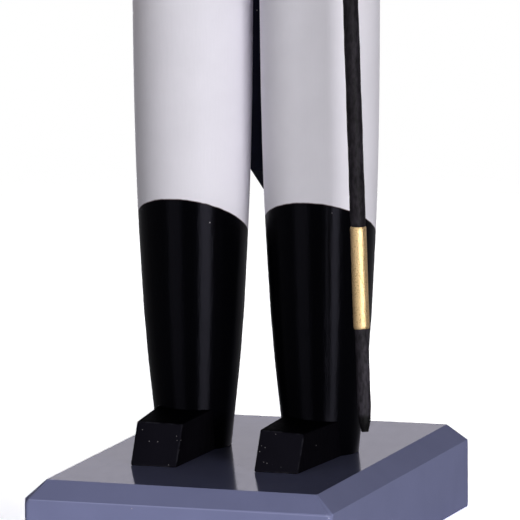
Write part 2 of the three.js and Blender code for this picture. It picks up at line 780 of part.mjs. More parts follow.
// Epaulettes: turned discs, cut to lie on the shoulder and the arm
const epauletteDisc = turned([
  [0, -epauletteThickness],
  [epauletteRadius, -epauletteThickness],
  [epauletteRadius, epauletteThickness * 0.4],
  [epauletteRadius * 0.8, epauletteThickness * 0.8],
  [0, epauletteThickness],
], limbSides);
const grownCoat = at(turned(coatProfile(seat), bodySides), 0, 0, hem);
const grownArm = turned([
  [0, -armRadius],
  [armRadius + seat, -armRadius],
  ...steps(4, 0, Math.PI / 2).slice(0, -1).map((a) => [
    (armRadius + seat) * Math.cos(a),
    (armRadius + seat) * Math.sin(a),
  ]),
  [0, armRadius + seat],
], limbSides).rotateX(-tilt);
for (const [side, sign] of [["right", -1], ["left", 1]]) {
  const disc = epauletteDisc.clone().rotateY(sign * THREE.MathUtils.degToRad(epauletteTilt));
  const epaulette = cut(
    at(disc, sign * (chestRadius + epauletteSpread), 0, shoulder + armRadius + seat),
    grownCoat,
    at(grownArm, sign * armX, 0, shoulder),
  );
  add(figure, `${side}_epaulette`, epaulette, goldPaint);
}

// Sabre in its scabbard, carried at the belt by a leather frog
const sabre = new THREE.Group();
sabre.position.set(
  sabreTipReach * Math.sin(sabreTurn),
  -sabreTipReach * Math.cos(sabreTurn),
  sabreTipHeight,
);
sabre.rotation.set(-lean, 0, sabreTurn, "ZXY");
figure.add(sabre);
const scabbard = turned([
  [0, 0],
  [rodTipRadius, 0],
  [rodEndRadius, rodTaper],
  [rodEndRadius, bandEnd + glue],
  [rodRadius, bandEnd + glue],
  [rodRadius, scabbardLength],
  [0, scabbardLength],
], smallSides);
add(sabre, "scabbard", scabbard, scabbardPaint);
function sleeveAround(inner, outer, foot, height) {
  const head = foot + height;
  return turned([[inner, foot], [outer, foot], [outer, head], [inner, head], [inner, foot]], smallSides);
}
const band = sleeveAround(rodEndRadius + sleeveFit, bandRadius, bandStart, bandLength);
add(sabre, "scabbard_band", band, goldPaint);
const locketInner = rodRadius + sleeveFit;
const locket = sleeveAround(locketInner, locketInner + locketThickness, locketFoot, locketLength);
add(sabre, "scabbard_locket", locket, goldPaint);
const guard = turned([
  [0, 0],
  [guardRadius * 0.8, 0],
  [guardRadius, guardThickness / 2],
  [guardRadius * 0.8, guardThickness],
  [0, guardThickness],
], smallSides);
add(sabre, "sabre_guard", guard, goldPaint, 0, 0, scabbardLength + glue);
const grip = turned([
  [0, 0],
  [gripRadius * 0.85, 0],
  [gripRadius, gripLength / 2],
  [gripRadius * 0.8, gripLength],
  [pommelRadius, gripLength + pommelRadius * 0.5],
  [pommelRadius * 0.7, gripLength + pommelRadius * 1.4],
  [0, gripLength + pommelRadius * 1.6],
], smallSides);
add(sabre, "sabre_grip", grip, blackLeather, 0, 0, scabbardLength + guardThickness + 2 * glue);

// Frog: a loop round the scabbard with a tab to the belt
sabre.updateMatrix();
const loop = sleeveAround(frogInner, frogInner + frogThickness, frogAlong - frogHeight / 2, frogHeight);
const tab = at(block(frogThickness, frogReach, frogTabHeight), 0, -frogReach / 2, 0).rotateZ(sabreTurn);
const beltCore = at(rod(beltRadius + seat, farAway, "z", bodySides), 0, 0, waist);
const scabbardRoom = at(rod(frogInner, farAway), 0, 0, frogAlong).applyMatrix4(sabre.matrix);
const frogStock = join(loop.applyMatrix4(sabre.matrix), at(tab, 0, 0, waist));
const frog = cut(frogStock, beltCore, scabbardRoom);
add(figure, "sabre_frog", frog, whiteLeather);

export default nutcracker;
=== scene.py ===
"""Soldier nutcracker: the fine surfaces and finishes of a turned and painted wooden figure.

Metres, +Z up. The figure faces -Y, so its left hand is at +X. Angles round an upright axis are
measured from the front and grow towards +X.
"""

import json
import logging
import math
from dataclasses import dataclass
from enum import Enum
from functools import cache

import bmesh
import bpy
import numpy as np
from mathutils import Matrix, Vector


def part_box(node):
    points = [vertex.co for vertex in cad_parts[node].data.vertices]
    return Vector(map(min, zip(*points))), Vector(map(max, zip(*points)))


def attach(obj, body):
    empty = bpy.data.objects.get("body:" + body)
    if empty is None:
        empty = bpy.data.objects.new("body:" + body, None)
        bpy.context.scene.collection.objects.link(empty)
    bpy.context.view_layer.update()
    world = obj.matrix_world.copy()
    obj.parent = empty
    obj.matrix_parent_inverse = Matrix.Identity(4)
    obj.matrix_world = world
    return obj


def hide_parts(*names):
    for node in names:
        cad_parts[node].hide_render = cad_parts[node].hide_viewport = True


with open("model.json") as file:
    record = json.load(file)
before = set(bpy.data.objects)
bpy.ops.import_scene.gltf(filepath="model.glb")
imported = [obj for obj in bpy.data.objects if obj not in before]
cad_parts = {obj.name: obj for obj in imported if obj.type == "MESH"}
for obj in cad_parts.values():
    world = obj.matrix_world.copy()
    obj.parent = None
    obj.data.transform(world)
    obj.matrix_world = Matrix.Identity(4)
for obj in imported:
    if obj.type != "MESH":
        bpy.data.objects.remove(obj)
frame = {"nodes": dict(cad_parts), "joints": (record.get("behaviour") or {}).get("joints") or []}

LOG = logging.getLogger("nutcracker")
MM = 0.001
TAU = 2 * math.pi
CREASE = math.radians(35)
SHARP = math.radians(32)

Colour = tuple[float, float, float, float]
Vector3 = tuple[float, float, float]
Pair = tuple[float, float]
Amount = np.ndarray | float
Piece = bpy.types.Object
Socket = bpy.types.NodeSocket
Sockets = bpy.types.bpy_prop_collection

ORIGIN = (0.0, 0.0, 0.0)
ACROSS = (1.0, 0.0, 0.0)
AHEAD = (0.0, -1.0, 0.0)
UP = (0.0, 0.0, 1.0)


class Body(Enum):
    """The two bodies that pieces ride on."""

    FIGURE = "figure"
    LEVER = "lever"


class Slot(Enum):
    """The names of the record's material slots, passed along with each new piece."""

    SLATE = "slate_paint"
    LEG = "leg_paint"
    BOOT = "boot_paint"
    COAT = "coat_paint"
    SKIN = "skin_paint"
    HAT = "hat_paint"
    PLUME = "plume_paint"
    SCABBARD = "scabbard_paint"
    GOLD = "gold_paint"
    BRASS = "brass_fitting"
    WHITE_LEATHER = "white_leather"
    BLACK_LEATHER = "black_leather"
    FUR = "fur"


class Side(Enum):
    """The figure's own right and left, with the sign of X there."""

    RIGHT = -1
    LEFT = 1

    @property
    def word(self) -> str:
        """The side's name as the nodes write it."""
        return self.name.lower()


def srgb(*levels: float) -> Colour:
    """Turn a colour into linear light, by the curve that screens use.

    Args:
        levels: Red, green and blue as a screen shows them, from 0 to 255.

    Returns:
        The linear colour with full opacity.
    """
    shown = np.array(levels) / 255
    light = np.where(shown <= 0.04045, shown / 12.92, ((shown + 0.055) / 1.055) ** 2.4)
    return (*light.tolist(), 1.0)


class Nodes:
    """A node tree, built by short calls that return sockets."""

    def __init__(self, tree: bpy.types.NodeTree) -> None:
        """Take hold of a tree."""
        self.nodes, self.links = tree.nodes, tree.links

    def feed(self, target: Socket, value: object) -> None:
        """Link a socket to another, or set its plain value.

        Args:
            target: The socket to fill.
            value: Another socket, a plain value, or None to leave it alone.
        """
        if isinstance(value, bpy.types.NodeSocket):
            self.links.new(value, target)
        elif value is not None:
            target.default_value = value

    def node(self, kind: str, *inputs: object, **settings: object) -> Sockets:
        """Add a node and feed its inputs in their order.

        Args:
            kind: The node's type, without the word ShaderNode.
            inputs: What each input takes.
            settings: The node's own settings.

        Returns:
            Its outputs.
        """
        made = self.nodes.new(f"ShaderNode{kind}")
        for key, value in settings.items():
            setattr(made, key, value)
        for target, value in zip(made.inputs, inputs):
            self.feed(target, value)
        return made.outputs

    def math(self, operation: str, *values: object) -> Socket:
        """Join values by one arithmetic operation."""
        return self.node("Math", *values, operation=operation)[0]


class Graph(Nodes):
    """A material's nodes, with a principled shader and Object coordinates."""

    def __init__(self, name: str) -> None:
        """Start a material.

        Args:
            name: The material's name.
        """
        self.material = bpy.data.materials.new(name)
        self.material.use_nodes = True
        super().__init__(self.material.node_tree)
        self.shader = self.nodes["Principled BSDF"]
        self.place = self.node("TexCoord")["Object"]

    def shade(self, **inputs: object) -> None:
        """Set the shader's own sockets, named with underscores for spaces."""
        for key, value in inputs.items():
            self.feed(self.shader.inputs[key.replace("_", " ")], value)

    def along(self, axis: Vector3, point: Vector3 = ORIGIN) -> Socket:
        """Measure the distance along an axis from a point."""
        shifted = self.node("VectorMath", self.place, point, operation="SUBTRACT")[0]
        return self.node("VectorMath", shifted, axis, operation="DOT_PRODUCT")["Value"]

    def distance(self, point: Vector3) -> Socket:
        """Measure the distance from a point."""
        return self.node("VectorMath", self.place, point, operation="DISTANCE")["Value"]

    def noise(self, scale: float, detail: float, stretch: Vector3 = (1.0, 1.0, 1.0)) -> Socket:
        """Sample cloudy noise, of so many clouds to a metre, drawn out where stretch is small."""
        mapped = self.node("Mapping", self.place, None, None, stretch)[0]
        return self.node("TexNoise", mapped, None, scale, detail)["Fac"]

    def cells(self, scale: float) -> Sockets:
        """Random cells, so many to a metre: the Distance to their middles, and a Color for each."""
        return self.node("TexVoronoi", self.place, None, scale)

    def specks(self, scale: float, share: Socket | float, size: float) -> Socket:
        """Scatter round specks: one in each of a share of random cells.

        Args:
            scale: Cells to a metre.
            share: Share of the cells that hold a speck.
            size: Radius of a speck as a share of a cell.

        Returns:
            A mask that is 1 on the specks.
        """
        cells = self.cells(scale)
        lot = self.node("SeparateColor", cells["Color"])[0]
        near = self.ramp(cells["Distance"], size, size * 0.4)
        return self.math("MULTIPLY", self.math("LESS_THAN", lot, share), near)

    def attribute(self, name: str) -> Socket:
        """Read one of the mesh's own values."""
        return self.node("Attribute", attribute_name=name)["Fac"]

    def ramp(self, value: Socket, low: float, high: float, start: float = 0.0, end: float = 1.0) -> Socket:
        """Ease from start to end while a value goes from low to high."""
        return self.node("MapRange", value, low, high, start, end, interpolation_type="SMOOTHSTEP")["Result"]

    def spread(self, noise: Socket, low: float, high: float) -> Socket:
        """Stretch a noise, whose values lie mostly from 0.28 to 0.72, over a range of values."""
        return self.ramp(noise, 0.28, 0.72, low, high)

    def mix(self, share: object, first: object, second: object) -> Socket:
        """Mix two colours, the seventh and eighth inputs of the node, by a share of the second."""
        return self.node("Mix", share, *[None] * 5, first, second, data_type="RGBA")[2]

    def scaled(self, colour: object, amount: Socket) -> Socket:
        """Brighten or darken a colour by an amount."""
        plain = colour if isinstance(colour, bpy.types.NodeSocket) else colour[:3]
        return self.node("VectorMath", plain, None, None, amount, operation="SCALE")[0]

    def relief(self, *layers: tuple[Socket, float]) -> None:
        """Raise the surface.

        Args:
            layers: Heights, each with its depth in metres.
        """
        normal = None
        for height, depth in layers:
            bump = self.nodes.new("ShaderNodeBump")
            for key, value in {"Distance": depth, "Height": height, "Normal": normal}.items():
                self.feed(bump.inputs[key], value)
            normal = bump.outputs[0]
        self.shade(Normal=normal)


@dataclass(frozen=True)
class Paint:
    """Satin paint on turned wood: clouds of tone, fine brush marks and a few dust specks."""

    name: str
    colour: Colour
    roughness: float = 0.32
    cloud: float = 0.08
    mottle: float = 0.0
    marks: Vector3 = (1.0, 1.0, 0.12)
    depth: float = 0.03 * MM
    specks: float = 0.02
    speck_scale: float = 520.0
    speck_size: float = 0.13
    speck_colour: Colour = srgb(150, 146, 150)
    ior: float = 1.22
    wear: Colour | None = None

    def tint(self, graph: Graph) -> Socket | Colour:
        """The colour before clouds and specks."""
        return self.colour

    def gloss(self, graph: Graph, marks: Socket) -> Socket:
        """The roughness, a little higher on the brush marks."""
        return graph.spread(marks, self.roughness - 0.04, self.roughness + 0.06)

    def dust(self, graph: Graph) -> Socket | float:
        """The share of small cells that hold a speck."""
        return self.specks

    def build(self, graph: Graph) -> None:
        """Fill in a material's nodes.

        Args:
            graph: The material.
        """
        clouds = graph.noise(75, 4)
        marks = graph.noise(1300, 3, self.marks)
        colour = graph.scaled(self.tint(graph), graph.spread(clouds, 1 - self.cloud, 1 + self.cloud))
        if self.mottle:
            colour = graph.scaled(colour, graph.spread(marks, 1 - self.mottle, 1 + self.mottle))
        if self.wear is not None:
            patches = graph.ramp(graph.noise(420, 5), 0.35, 0.75)
            colour = graph.mix(graph.math("MULTIPLY", graph.attribute("wear"), patches), colour, self.wear)
        dust = graph.specks(self.speck_scale, self.dust(graph), self.speck_size)
        dull = graph.math("MAXIMUM", self.gloss(graph, marks), dust)
        graph.shade(Base_Color=graph.mix(dust, colour, self.speck_colour), IOR=self.ior, Roughness=dull)
        graph.relief((clouds, 4 * self.depth), (marks, self.depth))


@dataclass(frozen=True)
class Zone:
    """A stretch of another colour along an axis, only past a limit along facing where that is given."""

    axis: Vector3
    low: float
    high: float
    colour: Colour
    facing: Vector3 | None = None
    limit: float = 0.0


@dataclass(frozen=True)
class ZonedPaint(Paint):
    """Paint whose colour changes at clean brushed lines."""

    zones: tuple[Zone, ...] = ()
    edge: float = 0.12 * MM

    def tint(self, graph: Graph) -> Socket | Colour:
        """Lay each zone over the ground colour.

        Args:
            graph: The material.

        Returns:
            The colour before clouds and specks.
        """
        colour = self.colour
        for zone in self.zones:
            value = graph.along(zone.axis)
            above = graph.ramp(value, zone.low - self.edge, zone.low + self.edge)
            below = graph.ramp(value, zone.high + self.edge, zone.high - self.edge)
            inside = graph.math("MULTIPLY", above, below)
            if zone.facing is not None:
                past = graph.math("GREATER_THAN", graph.along(zone.facing), zone.limit)
                inside = graph.math("MULTIPLY", inside, past)
            colour = graph.mix(inside, colour, zone.colour)
        return colour


@dataclass(frozen=True)
class LegPaint(Paint):
    """White trousers above a slanting line and black boots below it, with a thin dark edge."""

    boot: Colour = srgb(3, 3, 5)
    boot_roughness: float = 0.33
    boot_specks: float = 0.02
    draw: float = 0.95
    sheen: Colour = (0.78, 0.76, 1.0, 1.0)
    seam: Colour = srgb(52, 22, 22)
    seam_width: float = 0.4 * MM
    line_normal: Vector3 = UP
    line_point: Vector3 = ORIGIN
    blur: float = 0.1 * MM
    wobble: float = 0.06 * MM

    def height(self, graph: Graph) -> Socket:
        """The height above the slanting line, which the brush follows almost cleanly."""
        wobble = graph.spread(graph.noise(420, 2), -self.wobble, self.wobble)
        return graph.math("ADD", graph.along(self.line_normal, self.line_point), wobble)

    def either(self, graph: Graph, boot: float, trousers: float) -> Socket:
        """One value on the boot and another on the trousers."""
        return graph.ramp(self.height(graph), -self.blur, self.blur, boot, trousers)

    def tint(self, graph: Graph) -> Socket | Colour:
        """Trousers, seam or boot, by the height above the slanting line."""
        trousers = graph.mix(graph.ramp(self.height(graph), self.seam_width, 0.0), self.colour, self.seam)
        return graph.mix(self.either(graph, 1.0, 0.0), trousers, self.boot)

    def gloss(self, graph: Graph, marks: Socket) -> Socket:
        """The trousers' roughness, and the boots' smoother paint."""
        return self.either(graph, self.boot_roughness, self.roughness)

    def dust(self, graph: Graph) -> Socket | float:
        """A few specks, which show on the boots."""
        return self.either(graph, self.boot_specks, self.specks)

    def build(self, graph: Graph) -> None:
        """Fill in a material's nodes, and draw the highlights out across the turning marks.

        Args:
            graph: The material.
        """
        super().build(graph)
        upright = graph.node("CombineXYZ", *UP)[0]
        graph.shade(Anisotropic=self.draw, Tangent=upright, Specular_Tint=self.sheen)


@dataclass(frozen=True)
class ToePaint(Paint):
    """Black paint that is duller and dustier on the sawn front of a block."""

    sawn: Colour = srgb(20, 19, 26)
    sawn_specks: float = 0.3

    def tint(self, graph: Graph) -> Socket | Colour:
        """The clean black, and the duller one where the mesh says front."""
        return graph.mix(graph.attribute("front"), self.colour, self.sawn)

    def dust(self, graph: Graph) -> Socket | float:
        """More specks on the sawn front."""
        return graph.math("MULTIPLY_ADD", graph.attribute("front"), self.sawn_specks, self.specks)


@dataclass(frozen=True)
class FacePaint(Paint):
    """Flesh paint with a soft blush on each cheek."""

    blush: Colour = srgb(205, 96, 84)
    cheeks: tuple[Vector3, ...] = ()
    reach: float = 8.5 * MM
    heart: float = 1.5 * MM
    strength: float = 0.75

    def tint(self, graph: Graph) -> Socket | Colour:
        """Warm the flesh towards the middle of each cheek.

        Args:
            graph: The material.

        Returns:
            The colour before clouds and specks.
        """
        colour = self.colour
        for cheek in self.cheeks:
            near = graph.ramp(graph.distance(cheek), self.reach, self.heart, 0.0, self.strength)
            colour = graph.mix(near, colour, self.blush)
        return colour


@dataclass(frozen=True)
class Gilding:
    """Gold paint or leaf: bright flakes, darker hollows, painted shade in a weave's grooves and a fine
    tooth.
    """

    name: str
    colour: Colour = srgb(236, 208, 140)
    hollow: Colour = srgb(150, 112, 52)
    roughness: float = 0.34
    metallic: float = 0.9
    grain: float = 2400.0
    depth: float = 0.12 * MM
    cord_depth: float = 0.5 * MM

    def pattern(self, graph: Graph) -> Socket | None:
        """A woven pattern, as a height from 0 to 1, where there is one."""
        return None

    def build(self, graph: Graph) -> None:
        """Fill in a material's nodes.

        Args:
            graph: The material.
        """
        grain = graph.noise(self.grain, 4)
        clouds = graph.ramp(graph.noise(210, 4), 0.3, 0.7, 0.25, 0.8)
        dirt_and_groove_shade = graph.math("MULTIPLY", graph.ramp(grain, 0.52, 0.3), clouds)
        layers = [(grain, self.depth)]
        pattern = self.pattern(graph)
        if pattern is not None:
            # A weave's grooves are darkened towards the hollow colour: painted shade between its cords.
            dirt_and_groove_shade = graph.math("MAXIMUM", dirt_and_groove_shade, graph.ramp(pattern, 0.35, 0.0, 0.0, 0.85))
            layers.append((pattern, self.cord_depth))
        graph.shade(Base_Color=graph.mix(dirt_and_groove_shade, self.colour, self.hollow), Metallic=self.metallic)
        graph.shade(Roughness=graph.spread(grain, self.roughness - 0.08, self.roughness + 0.16))
        graph.relief(*layers)


@dataclass(frozen=True)
class Braid(Gilding):
    """Gold braid woven in chevrons round an upright axis through its middle."""

    middle: Vector3 = ORIGIN
    radius: float = 30 * MM
    pitch: float = 2.2 * MM

    def pattern(self, graph: Graph) -> Socket | None:
        """Weave slanted cords that meet on the braid's middle line.

        Args:
            graph: The material.

        Returns:
            The height, half of 1 plus the sine of the turn along each cord.
        """
        angle = graph.math("ARCTAN2", graph.along(ACROSS, self.middle), graph.along(AHEAD, self.middle))
        rise = graph.math("ABSOLUTE", graph.along(UP, self.middle))
        place = graph.math("MULTIPLY_ADD", angle, self.radius, rise)
        wave = graph.math("SINE", graph.math("MULTIPLY", place, TAU / self.pitch))
        return graph.math("MULTIPLY_ADD", wave, 0.5, 0.5)


@dataclass(frozen=True)
class Leather:
    """Strap leather: pebbled grain, soft creases and rubbed patches."""

    name: str
    colour: Colour
    rubbed: Colour
    roughness: float = 0.5
    grain: float = 1500.0

    def build(self, graph: Graph) -> None:
        """Fill in a material's nodes.

        Args:
            graph: The material.
        """
        pebbles = graph.cells(self.grain)["Distance"]
        patches = graph.noise(160, 5)
        colour = graph.mix(graph.ramp(patches, 0.4, 0.75), self.colour, self.rubbed)
        # Darker towards the pebbles' borders, where the grain sinks: painted shade in its creases.
        graph.shade(Base_Color=graph.scaled(colour, graph.ramp(pebbles, 0.1, 0.6, 1.0, 0.86)))
        graph.shade(Roughness=graph.spread(patches, self.roughness - 0.1, self.roughness + 0.1))
        graph.relief((pebbles, -0.12 * MM), (patches, 0.3 * MM))


@dataclass(frozen=True)
class Fur:
    """Soft fur: each strand has its own tone, and painted shade darkens it towards the root."""

    name: str
    colour: Colour
    root: Colour

    def build(self, graph: Graph) -> None:
        """Fill in a material's nodes.

        Args:
            graph: The material.
        """
        colour = graph.mix(graph.attribute("tone"), self.root, self.colour)
        colour = graph.scaled(colour, graph.spread(graph.noise(130, 3), 0.9, 1.06))
        graph.shade(Base_Color=colour, Roughness=0.62, Sheen_Weight=0.25, Sheen_Roughness=0.4)
        graph.relief((graph.noise(3200, 2), 0.05 * MM))


@dataclass(frozen=True)
class Beech:
    """Bare beech: straight grain with short darker flecks."""

    name: str
    colour: Colour = srgb(206, 165, 118)
    fleck: Colour = srgb(150, 100, 62)

    def build(self, graph: Graph) -> None:
        """Fill in a material's nodes.

        Args:
            graph: The material.
        """
        grain = graph.noise(320, 5, (1.0, 1.0, 0.06))
        flecks = graph.ramp(graph.noise(900, 2, (1.0, 1.0, 0.2)), 0.62, 0.72)
        dark = graph.math("MAXIMUM", graph.ramp(grain, 0.45, 0.75, 0.0, 0.6), flecks)
        graph.shade(Base_Color=graph.mix(dark, self.colour, self.fleck))
        graph.shade(Roughness=graph.spread(grain, 0.55, 0.72))
        graph.relief((grain, 0.15 * MM))


@dataclass(frozen=True)
class DrawnSteel:
    """Steel rod with drawing marks along X."""

    name: str
    colour: Colour = srgb(186, 188, 190)

    def build(self, graph: Graph) -> None:
        """Fill in a material's nodes.

        Args:
            graph: The material.
        """
        marks = graph.noise(2600, 3, (0.04, 1.0, 1.0))
        graph.shade(Base_Color=graph.scaled(self.colour, graph.spread(marks, 0.8, 1.05)), Metallic=1.0)
        graph.shade(Roughness=graph.spread(marks, 0.22, 0.4))
        graph.relief((marks, 0.03 * MM))


Finish = Paint | Gilding | Leather | Fur | Beech | DrawnSteel


@cache
def material_of(finish: Finish) -> bpy.types.Material:
    """Make a finish's material once.

    Args:
        finish: The finish.

    Returns:
        Its material, the same one each time.
    """
    graph = Graph(finish.name)
    finish.build(graph)
    return graph.material


NAVY_TONE = srgb(20, 24, 52)
SCARLET_TONE = srgb(160, 24, 30)

SLATE = ZonedPaint(
    "slate_paint", srgb(127, 131, 169), roughness=0.1, cloud=0.03, marks=(1.0, 0.12, 1.0),
    depth=0.004 * MM, specks=0.012, speck_colour=srgb(176, 174, 184), ior=1.21,
    # The lighter band along the front chamfer's lower edge is a painted highlight line.
    zones=(Zone(UP, 18.95 * MM, 19.2 * MM, srgb(148, 152, 190), AHEAD, 61 * MM),),
)
BOOT = ToePaint(
    "boot_paint", srgb(6, 5, 9), roughness=0.58, specks=0.05, speck_scale=760.0, ior=1.05,
    wear=srgb(66, 66, 74),
)
NAVY_SLEEVE = Paint("sleeve_paint", NAVY_TONE, roughness=0.38)
# The lever's board is painted darker than the coat's navy: painted shade for where it sits deep between the
# legs.
SHADE_DARKENED_NAVY_BOARD = Paint("shade_darkened_navy_board", srgb(14, 16, 37), roughness=0.4, specks=0.05)
SCARLET = Paint("scarlet_paint", SCARLET_TONE, roughness=0.36)
FLESH = Paint("flesh_paint", srgb(226, 172, 136), roughness=0.42, specks=0.01)
HAT_BLACK = Paint("hat_paint", srgb(22, 22, 27), roughness=0.45, specks=0.05)
STAIN = ZonedPaint(
    "scabbard_stain", srgb(33, 30, 35), roughness=0.55, cloud=0.4, mottle=0.5, marks=(1.0, 1.0, 0.4),
    depth=0.16 * MM, specks=0.05, speck_colour=srgb(96, 88, 86), ior=1.18, edge=0.8 * MM,
    zones=(Zone(UP, 0.0, 66 * MM, srgb(46, 43, 49)), Zone(UP, 0.0, 41.5 * MM, srgb(12, 11, 13))),
)
INK = Paint("ink_paint", srgb(26, 22, 24), roughness=0.4, specks=0.0)
EYE_WHITE = Paint("eye_white", srgb(240, 238, 232), roughness=0.3, specks=0.0)
IRIS = Paint("iris_paint", srgb(62, 98, 142), roughness=0.25, specks=0.0)
TOOTH = Paint("tooth_paint", srgb(238, 232, 220), roughness=0.35, specks=0.0)
LIP = Paint("lip_paint", srgb(176, 58, 54), roughness=0.38, specks=0.0)
GOLD = Gilding("gold_paint")
BAND_GOLD = Gilding(
    "scabbard_gold", srgb(246, 214, 162), srgb(158, 112, 46), roughness=0.44, metallic=0.92, grain=2600.0,
    depth=0.14 * MM,
)
BRASS = Gilding(
    "brass_fitting", srgb(232, 196, 116), srgb(128, 92, 40), roughness=0.24, metallic=1.0, grain=1500.0,
    depth=0.04 * MM,
)
WHITE_LEATHER = Leather("white_leather", srgb(232, 227, 216), srgb(196, 187, 170), roughness=0.55)
BLACK_LEATHER = Leather("black_leather", srgb(24, 22, 26), srgb(52, 48, 52), roughness=0.34)
THREAD = Leather("linen_thread", srgb(206, 196, 172), srgb(176, 164, 138), roughness=0.7, grain=4200.0)
WHITE_FUR = Fur("white_fur", srgb(243, 239, 230), srgb(168, 158, 142))
BEECH = Beech("bare_beech")
STEEL = DrawnSteel("drawn_steel")


@dataclass(frozen=True)
class Box:
    """The box that a CAD node fills at rest."""

    low: Vector
    high: Vector

    @classmethod
    def of(cls, node: str) -> "Box":
        """Measure one node."""
        return cls(*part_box(node))

    @property
    def middle(self) -> Vector:
        """The box's middle."""
        return (self.low + self.high) / 2

    @property
    def size(self) -> Vector:
        """The box's three sides."""
        return self.high - self.low


def circle(count: int) -> np.ndarray:
    """Turns spread evenly round a full circle."""
    return np.linspace(0, TAU, count, endpoint=False)


def grid(*parts: Amount) -> np.ndarray:
    """Join coordinates, each spread over the others' rows and columns, into points."""
    return np.stack(np.broadcast_arrays(*parts), axis=-1)


def polar(out: Amount, turn: Amount, height: Amount) -> np.ndarray:
    """Points at a distance out from the Z axis, a turn round it from +X and a height."""
    return grid(out * np.cos(turn), out * np.sin(turn), height)


def outward(angle: Amount) -> np.ndarray:
    """The level direction at an angle from the front."""
    return grid(np.sin(angle), -np.cos(angle), 0.0)


def unit(rows: np.ndarray) -> np.ndarray:
    """Bring directions to a length of 1."""
    return rows / np.linalg.norm(rows, axis=-1, keepdims=True)


def ease(t: np.ndarray) -> np.ndarray:
    """Go from 0 to 1 with level ends, as 3 t^2 - 2 t^3."""
    t = np.clip(t, 0.0, 1.0)
    return t * t * (3 - 2 * t)


def placed(points: np.ndarray, stand: Matrix) -> np.ndarray:
    """Move an array of points by a matrix."""
    matrix = np.array(stand)
    return points @ matrix[:3, :3].T + matrix[:3, 3]


def facing(place: Vector, ahead: Vector, axis: str = "Z") -> Matrix:
    """A frame at a place, with one of its axes turned along a direction."""
    return Matrix.Translation(place) @ ahead.to_track_quat(axis, "Y").to_matrix().to_4x4()


def through(points: object, count: int) -> np.ndarray:
    """Sample a smooth curve through points, each stretch a cubic.

    The slope at a point is half the step from the point before it to the point after it.

    Args:
        points: The points, in any number of dimensions.
        count: How many samples to take.

    Returns:
        The samples, evenly spread over the stretches.
    """
    given = np.asarray(points, dtype=float)
    given = np.vstack([2 * given[0] - given[1], given, 2 * given[-1] - given[-2]])
    place = np.linspace(0, len(given) - 3, count)
    first = np.minimum(place.astype(int), len(given) - 4)
    t = (place - first)[:, None]
    a, b, c, d = (given[first + k] for k in range(4))
    return b + 0.5 * t * ((c - a) + t * ((2 * a - 5 * b + 4 * c - d) + t * (3 * (b - c) + d - a)))


def bezier(count: int, *points: Pair) -> np.ndarray:
    """Sample a curve from the first point to the last that the points between pull towards them.

    At share t it is the sum of the points, the k-th of n times comb(n, k) (1 - t)^(n - k) t^k.

    Args:
        count: How many samples to take.
        points: The points, counted from 0 to n.

    Returns:
        The samples.
    """
    t = np.linspace(0, 1, count)[:, None]
    n = len(points) - 1
    shares = [math.comb(n, k) * (1 - t) ** (n - k) * t**k for k in range(n + 1)]
    return sum(share * np.array(point) for share, point in zip(shares, points))


def rounded_outline(corner: int) -> tuple[np.ndarray, np.ndarray]:
    """Give the corners and arcs of a rounded rectangle.

    Args:
        corner: Points round each corner.

    Returns:
        The sign of each point's corner and its place on a circle of radius 1, each as rows of two.
    """
    quarter = np.linspace(0, TAU / 4, corner)
    turns = np.arange(4)[:, None] * TAU / 4 + quarter
    signs = np.array([[1, 1], [-1, 1], [-1, -1], [1, -1]], dtype=float)
    return np.repeat(signs, corner, axis=0), grid(np.cos(turns), np.sin(turns)).reshape(-1, 2)


def rounded(half: np.ndarray, radius: float, corner: int) -> np.ndarray:
    """Draw a rounded rectangle: sign * (half side - radius) + radius * arc in each direction."""
    signs, arcs = rounded_outline(corner)
    return signs * (half - radius) + radius * arcs


def oblong(front: float, back: float, low: float, high: float) -> np.ndarray:
    """The corners of an upright rectangle in Y and Z."""
    return np.array([(front, low), (back, low), (back, high), (front, high)])


def shade_smooth(mesh: bpy.types.Mesh, crease: float = CREASE) -> None:
    """Shade a mesh smooth.

    Args:
        mesh: The mesh.
        crease: Angle past which an edge stays sharp.
    """
    mesh.polygons.foreach_set("use_smooth", np.ones(len(mesh.polygons), dtype=bool))
    mesh.set_sharp_from_angle(angle=crease)
    mesh.update()


def make(name: str, points: np.ndarray, faces: list[list[int]], **values: Amount) -> Piece:
    """Make a closed mesh object from points and faces.

    Args:
        name: The piece's name.
        points: Places, as rows of X, Y and Z.
        faces: Corner numbers of each face.
        values: Named values to keep at each point, spread over the points.

    Returns:
        The object, with doubles merged and its faces turned outwards.
    """
    mesh = bpy.data.meshes.new(name)
    mesh.from_pydata(points.reshape(-1, 3).tolist(), [], faces)
    for key, given in values.items():
        spread = np.broadcast_to(given, points.shape[:-1])
        kept = mesh.attributes.new(key, "FLOAT", "POINT")
        kept.data.foreach_set("value", np.ascontiguousarray(spread, dtype=np.float32).ravel())
    work = bmesh.new()
    work.from_mesh(mesh)
    bmesh.ops.remove_doubles(work, verts=work.verts, dist=1e-7)
    bmesh.ops.recalc_face_normals(work, faces=work.faces)
    work.to_mesh(mesh)
    work.free()
    shade_smooth(mesh)
    made = bpy.data.objects.new(name, mesh)
    bpy.context.scene.collection.objects.link(made)
    return made


def grid_faces(count: int, rows: int, columns: int, caps: bool = True) -> list[list[int]]:
    """Number the faces of closed grids whose columns run round.

    Args:
        count: How many grids follow one another.
        rows: Rows of each grid.
        columns: Points round each row.
        caps: Whether the first and last rows are closed by a face.

    Returns:
        Corner numbers of each face.
    """
    index = np.arange(count * rows * columns).reshape(count, rows, columns)
    after = np.roll(index, -1, axis=2)
    quads = np.stack([index[:, :-1], after[:, :-1], after[:, 1:], index[:, 1:]], axis=-1)
    faces = quads.reshape(-1, 4).tolist()
    if caps:
        faces += index[:, 0, ::-1].tolist() + index[:, -1].tolist()
    return faces


